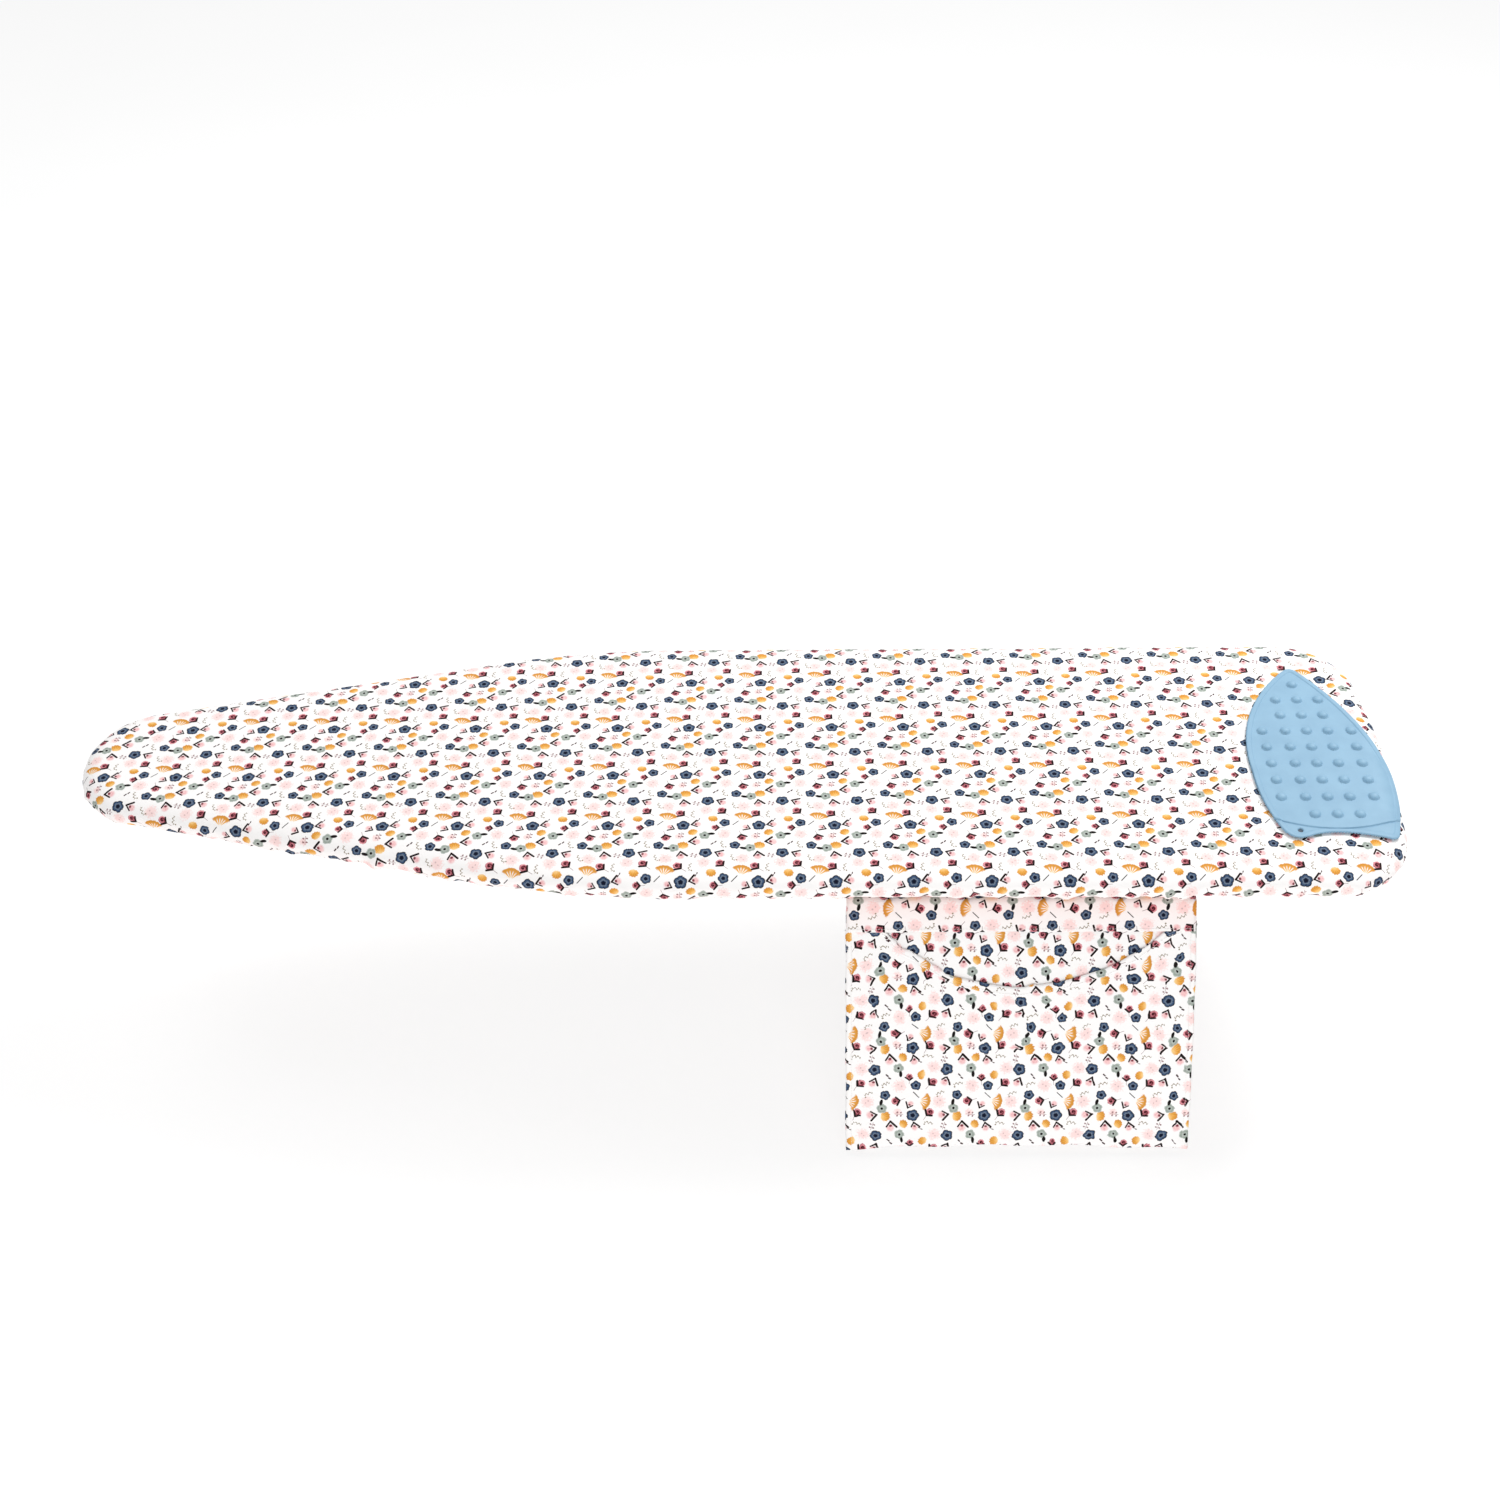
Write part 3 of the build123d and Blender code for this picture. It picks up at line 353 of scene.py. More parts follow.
class Graph:
    """Adds nodes to a node tree; every call returns what the new node gives."""

    def __init__(self, tree):
        self.tree = tree

    def node(self, kind, **settings):
        node = self.tree.nodes.new(kind)
        for name, value in settings.items():
            setattr(node, name, value)
        return node

    def feed(self, socket, value):
        if isinstance(value, Number):
            value = value.socket
        if isinstance(value, bpy.types.NodeSocket):
            self.tree.links.new(value, socket)
        else:
            socket.default_value = value

    def math(self, operation, *values):
        node = self.node("ShaderNodeMath", operation=operation)
        for socket, value in zip(node.inputs, values):
            self.feed(socket, value)
        return Number(self, node.outputs[0])

    def vector(self, operation, *values):
        node = self.node("ShaderNodeVectorMath", operation=operation)
        for socket, value in zip(node.inputs, values):
            self.feed(socket, value)
        return node.outputs["Value" if operation in ("LENGTH", "DOT_PRODUCT") else "Vector"]

    def length(self, vector):
        return Number(self, self.vector("LENGTH", vector))

    def dot(self, a, b):
        return Number(self, self.vector("DOT_PRODUCT", a, b))

    def parts(self, vector):
        node = self.node("ShaderNodeSeparateXYZ")
        self.feed(node.inputs[0], vector)
        return [Number(self, socket) for socket in node.outputs]

    def least(self, a, b):
        return self.math("MINIMUM", a, b)

    def most(self, a, b):
        return self.math("MAXIMUM", a, b)

    def clamp(self, value):
        node = self.node("ShaderNodeClamp")
        self.feed(node.inputs[0], value)
        return Number(self, node.outputs[0])

    def edge(self, distance, softness):
        """1 where distance is below zero, falling to 0 over the softness."""
        return self.clamp(0.5 - distance / softness)

    def noise(self, vector, scale, detail=2.0):
        node = self.node("ShaderNodeTexNoise")
        self.feed(node.inputs["Vector"], vector)
        node.inputs["Scale"].default_value = scale
        node.inputs["Detail"].default_value = detail
        return Number(self, node.outputs[0])

    def mix(self, share, a, b):
        node = self.node("ShaderNodeMix", data_type="RGBA")
        self.feed(node.inputs["Factor"], share)
        self.feed(node.inputs[6], a)
        self.feed(node.inputs[7], b)
        return node.outputs[2]

    def ramp(self, value, stops):
        node = self.node("ShaderNodeValToRGB")
        self.feed(node.inputs[0], value)
        elements = node.color_ramp.elements
        while len(elements) < len(stops):
            elements.new(0.5)
        for element, (place, colour) in zip(elements, stops):
            element.position = place
            element.color = colour
        return node.outputs[0]

    def stroke(self, point, start, end, width):
        """A short line with round ends: 1 on the line, 0 off it."""
        start, end = Vector((*start, 0.0)), Vector((*end, 0.0))
        along = end - start
        offset = self.vector("SUBTRACT", point, start)
        share = self.clamp(self.dot(offset, along / along.length_squared))
        reach = self.node("ShaderNodeVectorMath", operation="SCALE")
        reach.inputs[0].default_value = along
        self.feed(reach.inputs["Scale"], share)
        gap = self.length(self.vector("SUBTRACT", offset, reach.outputs[0]))
        return self.edge(gap - width / 2, 0.35)

    def blob(self, point, centre, radii, softness=0.2):
        """An oval patch: 1 inside, 0 outside."""
        offset = self.vector("SUBTRACT", point, Vector((*centre, 0.0)))
        scaled = self.vector("MULTIPLY", offset, Vector((1 / radii[0], 1 / radii[1], 0.0)))
        return self.edge(self.length(scaled) - 1.0, softness)


# ---------------------------------------------------------------- the print's motifs, in millimetres

CLOTH_WHITE = linear(252, 250, 249)
NAVY = dye(26, 34, 62)
DEEP_BLUE = dye(54, 80, 126)
MID_BLUE = dye(96, 130, 178)
SOFT_BLUE = dye(186, 206, 230)
INK = dye(38, 30, 30)
SAGE = linear(146, 156, 146)
PALE_SAGE = linear(188, 196, 190)
AMBER = linear(214, 146, 60)
MUSTARD = linear(238, 172, 78)
STRAW = linear(250, 214, 150)
ROSE = dye(204, 92, 110)
PLUM = dye(92, 32, 44)
BLUSH = linear(232, 152, 160)
PALE_PINK = linear(252, 210, 207)
OLIVE = dye(176, 146, 70)
TWIG = dye(182, 84, 100)


def petalled(radius, petals, colours):
    """An open flower seen from above: overlapping petals, an outline and a dark eye."""

    def draw(graph, point, wash):
        x, y, _ = graph.parts(point)
        angle = graph.math("ARCTAN2", y, x)
        lobes = graph.math("ABSOLUTE", graph.math("COSINE", angle * (petals / 2) + wash * 2.0))
        rim = (lobes * 0.17 + wash * 0.25 + 0.85) * radius
        distance = graph.length(point)
        share = distance / rim + wash * 0.22
        seam = graph.edge(lobes - 0.2, 0.3) * graph.edge(0.5 - share, 0.3)
        colour = graph.mix(seam * 0.6, graph.ramp(share, colours), colours[-1][1])
        return colour, graph.edge(distance - rim, 0.5)

    return draw


def sage_flower(graph, point, wash):
    stops = [(0.0, INK), (0.22, INK), (0.32, PALE_SAGE), (0.7, SAGE), (0.95, PALE_SAGE)]
    colour, cover = petalled(4.9, 5, stops)(graph, point, wash)
    leaf = graph.blob(point, (2.0, -5.8), (1.5, 3.1))
    return graph.mix(leaf, colour, INK), graph.most(cover, leaf)


def fan(graph, point, wash):
    """A half flower like a shell: a solid rim on the right and rays that narrow to the left."""
    offset = graph.vector("ADD", point, (4.2, 0.0, 0.0))
    x, y, _ = graph.parts(offset)
    angle = graph.math("ARCTAN2", y, x)
    distance = graph.length(offset)
    rays = graph.edge(graph.math("COSINE", angle * 17.0) * -1.0 - 0.35, 0.7)
    solid = graph.edge(6.2 - distance + wash * 2.0, 2.2)
    cover = graph.most(solid, rays) * graph.edge(distance - 9.3 + wash * 2.0, 0.6)
    cover = cover * graph.edge(graph.math("ABSOLUTE", angle) - 0.95 - wash * 0.3, 0.14)
    cover = cover * graph.edge(1.6 - distance, 1.2)
    stops = [(0.1, STRAW), (0.45, MUSTARD), (0.9, AMBER)]
    return graph.ramp(distance / 9.2 + wash * 0.4, stops), cover


def bud(graph, point, wash):
    """A round petal bundle with fine rays, deep on one side and pale on the other."""
    offset = graph.vector("ADD", point, (4.6, 2.0, 0.0))
    x, y, _ = graph.parts(offset)
    angle = graph.math("ARCTAN2", y, x)
    rays = graph.math("SINE", angle * 22.0) * 0.16
    egg = graph.length(graph.vector("MULTIPLY", point, (0.25, 0.215, 0.0)))
    share = graph.length(offset) * 0.12 + rays + wash * 0.3
    stops = [(0.2, STRAW), (0.55, MUSTARD), (0.95, AMBER)]
    return graph.ramp(share, stops), graph.edge(egg - 1.0 + wash * 0.4 + rays * 0.4, 0.16)


def rose(graph, point, wash):
    """A small rose with a dark calyx on its left and a thin stem."""
    distance = graph.length(point)
    head = graph.edge(distance - 3.7 + wash * 2.0, 0.6)
    x, y, _ = graph.parts(point)
    swirl = graph.math("SINE", distance * 2.6 + graph.math("ARCTAN2", y, x)) * 0.16
    share = distance * 0.15 + swirl + wash * 0.5
    colour = graph.ramp(share, [(0.04, PLUM), (0.24, ROSE), (0.58, BLUSH)])
    calyx = graph.most(
        graph.stroke(point, (-3.8, 2.8), (-3.4, -2.8), 1.9),
        graph.stroke(point, (-3.4, -3.0), (1.6, -3.6), 1.7),
    )
    stem = graph.stroke(point, (-3.4, -2.8), (-6.8, -6.8), 0.55)
    colour = graph.mix(graph.most(calyx, stem), colour, INK)
    return colour, graph.most(graph.most(head, calyx), stem * 0.7)


def forked_bud(graph, point, wash):
    """A pink bud under two dark leaves that meet in a point."""
    leaves = graph.most(
        graph.stroke(point, (-4.8, -0.6), (-0.6, 3.7), 1.7),
        graph.stroke(point, (0.0, 4.4), (4.8, -2.6), 2.2),
    )
    petals = graph.blob(point, (-1.4, -2.4), (3.4, 3.2), 0.7) * 0.85
    heart = graph.blob(point, (-0.6, -0.2), (1.7, 1.4), 0.5)
    colour = graph.mix(heart, graph.ramp(wash + 0.5, [(0.3, PALE_PINK), (0.7, BLUSH)]), ROSE)
    return graph.mix(leaves, colour, INK), graph.most(graph.most(leaves, petals), heart)


def pale_flower(graph, point, wash):
    """A washed-out pink flower, little more than a stain, with a few darker dots."""
    cover = graph.edge(graph.length(point) - 5.6 + wash * 11.0, 3.0) * 0.9
    dots = graph.most(
        graph.blob(point, (-1.6, 1.2), (0.9, 0.6), 0.6),
        graph.blob(point, (1.4, -0.6), (0.8, 0.9), 0.6),
    )
    return graph.mix(dots * 0.5, PALE_PINK, ROSE), graph.most(cover * 0.8, dots * 0.4)


def sprig(graph, point, wash):
    """A curled tendril: three small hoops in a row."""
    x, y, _ = graph.parts(point)
    wave = graph.math("ABSOLUTE", graph.math("SINE", x * 0.85)) * 2.2
    line = graph.edge(graph.math("ABSOLUTE", y - wave) - 0.5, 0.5)
    line = line * graph.edge(graph.math("ABSOLUTE", x) - 4.6, 0.3)
    return OLIVE, graph.most(line, graph.blob(point, (-4.0, -1.4), (0.8, 0.7), 0.5)) * 0.9


def twig(graph, point, wash):
    """A small twig with leaves on both its sides."""
    leaves = graph.stroke(point, (-4.0, -1.6), (4.0, 1.4), 0.45)
    for centre in ((-2.4, 1.0), (-1.0, -2.2), (1.0, 2.4), (2.6, -0.8)):
        leaves = graph.most(leaves, graph.blob(point, centre, (0.8, 1.1), 0.5))
    return TWIG, leaves * 0.85


def specks(graph, point, wash):
    """A pair of fallen petals."""
    pair = graph.most(
        graph.stroke(point, (-1.2, 1.8), (0.2, 0.4), 1.2),
        graph.stroke(point, (0.9, -1.1), (2.2, -2.0), 1.2),
    )
    return PLUM, pair


def slip(graph, point, wash):
    """A single narrow leaf."""
    return INK, graph.stroke(point, (-3.2, 2.6), (2.6, -3.0), 0.9)


BLUE_STOPS = [
    (0.0, NAVY),
    (0.24, NAVY),
    (0.34, DEEP_BLUE),
    (0.46, SOFT_BLUE),
    (0.66, MID_BLUE),
    (0.78, MID_BLUE),
    (0.90, NAVY),
    (1.0, NAVY),
]
MOTIFS = {
    "pale_flower": pale_flower,
    "sprig": sprig,
    "twig": twig,
    "specks": specks,
    "slip": slip,
    "forked_bud": forked_bud,
    "bud": bud,
    "fan": fan,
    "rose": rose,
    "sage_flower": sage_flower,
    "anemone": petalled(6.2, 5, BLUE_STOPS),
}

# Where each motif stands in a tile: right and down as shares of it, then its turn in degrees and size
LAYOUT = {
    "pale_flower": [
        (0.37, 0.26, 0, 1.0),
        (0.91, 0.50, 70, 1.0),
        (0.84, 0.00, 160, 0.95),
        (0.33, 0.66, 30, 0.6),
    ],
    "sprig": [(0.18, 0.25, 12, 1.0), (0.93, 0.39, 20, 0.95), (0.76, 0.84, -12, 0.95)],
    "twig": [(0.35, 0.69, -28, 0.95), (0.97, 0.87, 50, 0.95)],
    "specks": [(0.20, 0.12, 0, 1.1), (0.64, 0.91, 20, 0.8)],
    "slip": [(0.59, 0.40, 0, 0.9)],
    "forked_bud": [
        (0.24, 0.86, 10, 1.0),
        (0.57, 0.87, 18, 0.85),
        (0.01, 0.20, -18, 0.9),
        (0.98, 0.71, -75, 0.95),
        (0.49, 0.55, 160, 0.75),
    ],
    "bud": [(0.16, 0.72, -10, 1.1), (0.41, 0.84, 25, 0.95), (0.67, 0.10, 165, 0.95)],
    "fan": [(0.70, 0.50, -12, 1.2)],
    "rose": [(0.83, 0.21, 0, 1.05), (0.50, 0.13, 45, 0.85), (0.30, 0.49, 150, 1.0), (0.78, 0.66, 8, 1.05)],
    "sage_flower": [(0.35, 0.00, 0, 1.05), (0.11, 0.60, 165, 1.05)],
    "anemone": [(0.59, 0.26, 20, 0.8), (0.16, 0.40, 65, 0.8), (0.54, 0.71, 0, 1.0), (0.02, 0.02, 40, 0.97)],
}


def print_group():
    """The whole print: cloth coordinates in metres to colour."""
    tree = bpy.data.node_groups.new("flower_print", "ShaderNodeTree")
    tree.interface.new_socket(name="Cloth", in_out="INPUT", socket_type="NodeSocketVector")
    tree.interface.new_socket(name="Colour", in_out="OUTPUT", socket_type="NodeSocketColor")
    graph = Graph(tree)
    inside = graph.node("NodeGroupInput")
    outside = graph.node("NodeGroupOutput")
    tiles = graph.vector("MULTIPLY", inside.outputs[0], (1 / TILE, 1 / TILE, 0.0))
    wash = graph.noise(inside.outputs[0], 520.0, 2.0) - 0.5
    colour = CLOTH_WHITE
    for name, draw in MOTIFS.items():
        point, reach = None, None
        for right, down, turn, size in LAYOUT[name]:
            offset = graph.vector("SUBTRACT", tiles, (right, -down, 0.0))
            near = graph.vector("WRAP", offset, (0.5, 0.5, 0.5), (-0.5, -0.5, -0.5))
            turned = graph.node("ShaderNodeVectorRotate", rotation_type="Z_AXIS")
            graph.feed(turned.inputs["Vector"], near)
            turned.inputs["Angle"].default_value = math.radians(-turn)
            zoom = TILE / MM / size / MOTIF_SIZE
            placed = graph.vector("MULTIPLY", turned.outputs[0], (zoom, zoom, 0.0))
            gap = graph.length(placed)
            if point is None:
                point, reach = placed, gap
                continue
            pick = graph.node("ShaderNodeMix", data_type="VECTOR")
            graph.feed(pick.inputs["Factor"], graph.math("LESS_THAN", gap, reach))
            graph.feed(pick.inputs[4], point)
            graph.feed(pick.inputs[5], placed)
            point, reach = pick.outputs[1], graph.least(gap, reach)
        ink, cover = draw(graph, point, wash)
        colour = graph.mix(cover, colour, ink)
    graph.feed(outside.inputs[0], colour)
    return tree


# ---------------------------------------------------------------- materials


class Material(Graph):
    """A node material, built as a graph round its shader."""

    def __init__(self, name):
        self.material = bpy.data.materials.new(name)
        self.material.use_nodes = True
        super().__init__(self.material.node_tree)
        self.shader = self.tree.nodes["Principled BSDF"]

    def point(self):
        return self.node("ShaderNodeTexCoord").outputs["Object"]

    def cloth(self):
        return self.node("ShaderNodeUVMap", uv_map="cloth").outputs[0]

    def finish(self, colour, bump=None, **inputs):
        """Feeds the shader: its colour, its bump (height, distance, strength) and its inputs by name."""
        self.feed(self.shader.inputs["Base Color"], colour)
        for name, value in inputs.items():
            self.feed(self.shader.inputs[name.replace("_", " ")], value)
        if bump:
            node = self.node("ShaderNodeBump")
            for name, value in zip(("Height", "Distance", "Strength"), bump):
                self.feed(node.inputs[name], value)
            self.feed(self.shader.inputs["Normal"], node.outputs[0])
        return self.material


def cotton_material():
    """Printed plain weave, with a painted pink shade low on the board's sides that stands in for light
    bounced off the print.
    """
    cotton = Material("printed_cotton")
    cloth = cotton.cloth()
    pattern = cotton.node("ShaderNodeGroup", node_tree=print_group())
    cotton.feed(pattern.inputs[0], cloth)
    printed = pattern.outputs[0]
    x, y, _ = cotton.parts(cloth)
    warp, weft = (cotton.math("SINE", way * (math.tau / THREAD_PITCH)) for way in (x, y))
    slub = cotton.noise(cloth, 900.0, 1.0)
    _, _, height = cotton.parts(cotton.point())
    # Painted shade: a pink tint on the cover's lower sides and the pocket's top strip, standing in for light
    # bounced off the pink print
    low_side_shade = cotton.clamp((0.036 - height) / 0.026) * cotton.clamp((height + 0.020) / 0.024)
    bounced_pink_shade = cotton.vector("MULTIPLY", printed, (0.99, 0.80, 0.77))
    return cotton.finish(
        cotton.mix(low_side_shade * 0.5, printed, bounced_pink_shade),
        (warp * weft * 0.35 + slub, 0.00010, 0.35),
        Roughness=0.86,
        Specular_IOR_Level=0.15,
    )


def silicone_material():
    """Matt blue silicone, with a painted dark disc for the shade inside the hanging hole."""
    silicone = Material("blue_silicone")
    point = silicone.point()
    cloud = silicone.noise(point, 45.0, 3.0)
    blue = silicone.ramp(cloud, [(0.3, linear(130, 170, 197)), (0.7, linear(138, 178, 204))])
    offset = silicone.vector("SUBTRACT", point, (*HANG_HOLE, 0.0))
    gap = silicone.length(silicone.vector("MULTIPLY", offset, (1.0, 1.0, 0.0)))
    # Painted shade: a dark slate-blue disc where the hanging hole is, standing in for the shadow inside it
    hole = silicone.edge(gap - HANG_HOLE_RADIUS, 0.0005)
    return silicone.finish(
        silicone.mix(hole, blue, linear(58, 74, 92)),
        (silicone.noise(point, 1400.0, 2.0), 0.00008, 0.5),
        Roughness=0.52,
        Specular_IOR_Level=0.38,
        Sheen_Weight=0.08,
    )


def coated_steel_material():
    steel = Material("coated_steel")
    point = steel.point()
    grime = steel.noise(point, 18.0, 4.0)
    colour = steel.ramp(grime, [(0.35, linear(196, 198, 201)), (0.65, linear(214, 216, 218))])
    bump = (steel.noise(point, 700.0, 2.0), 0.00015, 0.35)
    return steel.finish(colour, bump, Roughness=grime * 0.2 + 0.28)


def plated_steel_material():
    steel = Material("plated_steel")
    stretched = steel.vector("MULTIPLY", steel.point(), (1.0, 6.0, 6.0))
    streaks = steel.noise(stretched, 220.0, 4.0)
    colour = steel.ramp(streaks, [(0.3, linear(176, 178, 180)), (0.7, linear(205, 206, 206))])
    return steel.finish(colour, (streaks, 0.00006, 0.4), Metallic=1.0, Roughness=streaks * 0.25 + 0.24)


def felt_material(name, dark, light, scale):
    felt = Material(name)
    point = felt.point()
    fibres = felt.noise(point, scale, 6.0)
    cells = felt.node("ShaderNodeTexVoronoi")
    felt.feed(cells.inputs["Vector"], point)
    felt.feed(cells.inputs["Scale"], scale * 0.8)
    pores = Number(felt, cells.outputs[0])
    colour = felt.ramp(fibres, [(0.35, dark), (0.65, light)])
    return felt.finish(colour, (fibres + pores * 0.7, 0.0005, 0.8), Roughness=0.95, Specular_IOR_Level=0.1)


def webbing_material():
    webbing = Material("elastic_webbing")
    x, y, _ = webbing.parts(webbing.cloth())
    ribs = webbing.math("SINE", x * (math.tau / 0.0012))
    picks = webbing.math("SINE", y * (math.tau / 0.0009))
    stops = [(0.25, linear(205, 205, 203)), (0.75, linear(236, 236, 233))]
    colour = webbing.ramp(ribs * 0.25 + 0.5, stops)
    return webbing.finish(colour, (ribs + picks * 0.6, 0.00025, 0.8), Roughness=0.8)


def plastic_material(name, fresh, scuffed):
    plastic = Material(name)
    point = plastic.point()
    grain = plastic.noise(point, 800.0, 3.0)
    patches = plastic.noise(point, 60.0, 3.0)
    colour = plastic.ramp(patches, [(0.3, fresh), (0.75, scuffed)])
    return plastic.finish(colour, (grain, 0.0001, 0.5), Roughness=patches * 0.2 + 0.4)


def thread_material():
    thread = Material("sewing_thread")
    twist = thread.noise(thread.point(), 2500.0, 1.0)
    colour = thread.ramp(twist, [(0.3, linear(226, 222, 218)), (0.7, linear(246, 243, 240))])
    return thread.finish(colour, (twist, 0.0001, 0.6), Roughness=0.7)


COTTON = cotton_material()
SILICONE = silicone_material()
COATED = coated_steel_material()
PLATED = plated_steel_material()
FOAM = felt_material("pad_foam", linear(214, 208, 190), linear(238, 233, 218), 420.0)
FELT = felt_material("pad_felt", linear(196, 194, 188), linear(226, 224, 218), 260.0)
WEBBING = webbing_material()
GRIP = plastic_material("grip_plastic", linear(40, 42, 46), linear(62, 64, 68))
CLIP = plastic_material("clip_plastic", linear(222, 222, 220), linear(236, 236, 234))
THREAD = thread_material()


def paint(piece, material):
    piece.data.materials.clear()
    piece.data.materials.append(material)


def dress(piece, material, slot_name, body, *nodes):
    """Gives a finished piece its material and its body, and hides the CAD nodes it stands for; slot_name is
    not used.
    """
    paint(piece, material)
    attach(piece, body)
    if nodes:
        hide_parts(*nodes)
    return piece


# ---------------------------------------------------------------- the cover


def fold_height(along, out, count, seed):
    """Gathers across the edge: each a ridge that starts somewhere on the side and grows to the hem."""
    rng = np.random.default_rng(seed)
    length = along.max()
    total = np.zeros_like(along)
    for _ in range(count):
        place = rng.uniform(0, length)
        slant = rng.uniform(-0.8, 0.8)
        width = rng.uniform(0.0022, 0.0065)
        height = rng.uniform(-0.7, 1.0)
        start = rng.uniform(0.004, 0.046)
        offset = (along - place - slant * (out - 0.04) + length / 2) % length - length / 2
        total += height * np.exp(-((offset / width) ** 2)) * smoothstep(start, start + 0.022, out)
    return total


def make_cover():
    """The cotton cover: a ring grid over the top, round the edge and under to the hem."""
    points, normals, along = outline(COVER_STEP)
    spine = spine_points(points)
    inner = points - normals * SHOULDER
    count = len(points)
    places, clothes, ups, outs = [], [], [], []
    for share in np.linspace(0.02, 1.0, TOP_RINGS):
        flat = spine + (inner - spine) * share
        places.append(np.column_stack([flat, np.full(count, TOP_Z)]))
        clothes.append(flat)
        ups.append(np.tile([0.0, 0.0, 1.0], (count, 1)))
        outs.append(0.0)
    insets, heights, sides, rises, reach = edge_profile(EDGE_RINGS)
    for inset, height, side, rise, out in list(zip(insets, heights, sides, rises, reach))[1:]:
        places.append(np.column_stack([points - normals * inset, np.full(count, height)]))
        clothes.append(inner + normals * out)
        ups.append(np.column_stack([normals * side, np.full(count, rise)]))
        outs.append(out)
    for inset in np.linspace(EDGE_RADIUS, HEM_INSET, UNDER_RINGS)[1:]:
        under = reach[-1] + inset - EDGE_RADIUS
        places.append(np.column_stack([points - normals * inset, np.full(count, BASE_Z)]))
        clothes.append(inner + normals * under)
        ups.append(np.tile([0.0, 0.0, -1.0], (count, 1)))
        outs.append(under)
    sheet, cloth, up = np.concatenate(places), np.concatenate(clothes), np.concatenate(ups)
    out = np.repeat(outs, count)
    run = np.tile(along, len(outs))
    x, y = sheet[:, 0], sheet[:, 1]
    swell = 0.00035 * soft_noise(x, y, 0.16, SEED) + 0.00012 * soft_noise(x, y, 0.05, SEED + 1)
    folds = fold_height(run, out, FOLD_COUNT, SEED + 2) * FOLD_HEIGHT * smoothstep(0.010, 0.040, out)
    hem_wave = np.sin(run * 95 + 2.5 * soft_noise(run, run * 0, 0.4, SEED + 3))
    hem = 0.0010 * hem_wave * smoothstep(0.062, 0.09, out)
    sheet = sheet + up * (swell + folds + hem - COVER_SINK)[:, None]
    faces = grid_faces(len(outs), count, wrap=True) + spine_faces(count)
    return make_mesh("cotton_cover_cloth", sheet, faces, np.column_stack([cloth[:, 1], -cloth[:, 0]]))


cover = make_cover()
dress(cover, COTTON, "printed_cotton", "board", "cotton_cover")


# ---------------------------------------------------------------- stitches and hems


def stitch_row(name, path, normals, pitch=0.0030, stitch=0.0021, radius=0.00022):
    """A row of separate thread stitches that lie on a surface along a path."""
    reach = reach_along(path)
    places = np.arange(pitch / 2, reach[-1] - pitch / 2, pitch)
    starts, ends = (read_off(places + offset, reach, path) for offset in (-stitch / 2, stitch / 2))
    sides = 6
    rises = (0.0, 0.75, 1.0, 0.75, 0.0)
    last = (len(rises) - 1) * sides
    shell = grid_faces(len(rises), sides, wrap=True)
    shell += [tuple(reversed(range(sides))), tuple(range(last, last + sides))]
    verts, faces = [], []
    for start, end, up in zip(starts, ends, read_off(places, reach, normals)):
        up = up / np.linalg.norm(up)
        way = (end - start) / np.linalg.norm(end - start)
        side = np.cross(way, up)
        faces += [tuple(len(verts) + corner for corner in face) for face in shell]
        for k, rise in enumerate(rises):
            centre = start + (end - start) * k / (len(rises) - 1) + up * radius * (rise * 1.6 - 0.6)
            size = radius * (0.45 + 0.55 * rise)
            for angle in np.arange(sides) * math.tau / sides:
                verts.append(centre + (side * math.cos(angle) + up * math.sin(angle)) * size)
    return make_mesh(name, verts, faces)


def ring_band(name, loop, ripple):
    """A closed band round the board: loop goes round its section as (inset, height), and ripple moves it."""
    points, normals, along = outline(HEM_STEP)
    rows, cloths = [], []
    reach = 0.0
    for k, (inset, height) in enumerate(loop):
        push, lift = ripple(along, k)
        place = points - normals * (inset + push)[:, None]
        rows.append(np.column_stack([place, height + lift]))
        if k:
            reach += math.dist(loop[k], loop[k - 1])
        cloths.append(np.column_stack([np.full(len(along), reach), along]))
    faces = grid_faces(len(loop), len(points), wrap=True, close=True)
    return make_mesh(name, np.concatenate(rows), faces, np.concatenate(cloths))


def hem_ripple(along, k):
    """The gathers that the elastic makes in the hem."""
    wave = np.sin(along * HEM_WAVES + 3 * soft_noise(along, along * 0, 0.15, SEED + 5))
    slow = soft_noise(along, along * 0, 0.09, SEED + 6)
    return 0.0006 * wave * math.sin(k * 0.9) + 0.0006 * slow, 0.0005 * wave + 0.0003 * slow


def elastic_ripple(along, k):
    """The elastic's own waves: up and down only."""
    return along * 0, 0.0003 * np.sin(along * HEM_WAVES)


def square_round(wave):
    """A cosine or sine pushed out, so that a circle of them is nearly square."""
    return math.copysign(abs(wave) ** 0.72, wave)


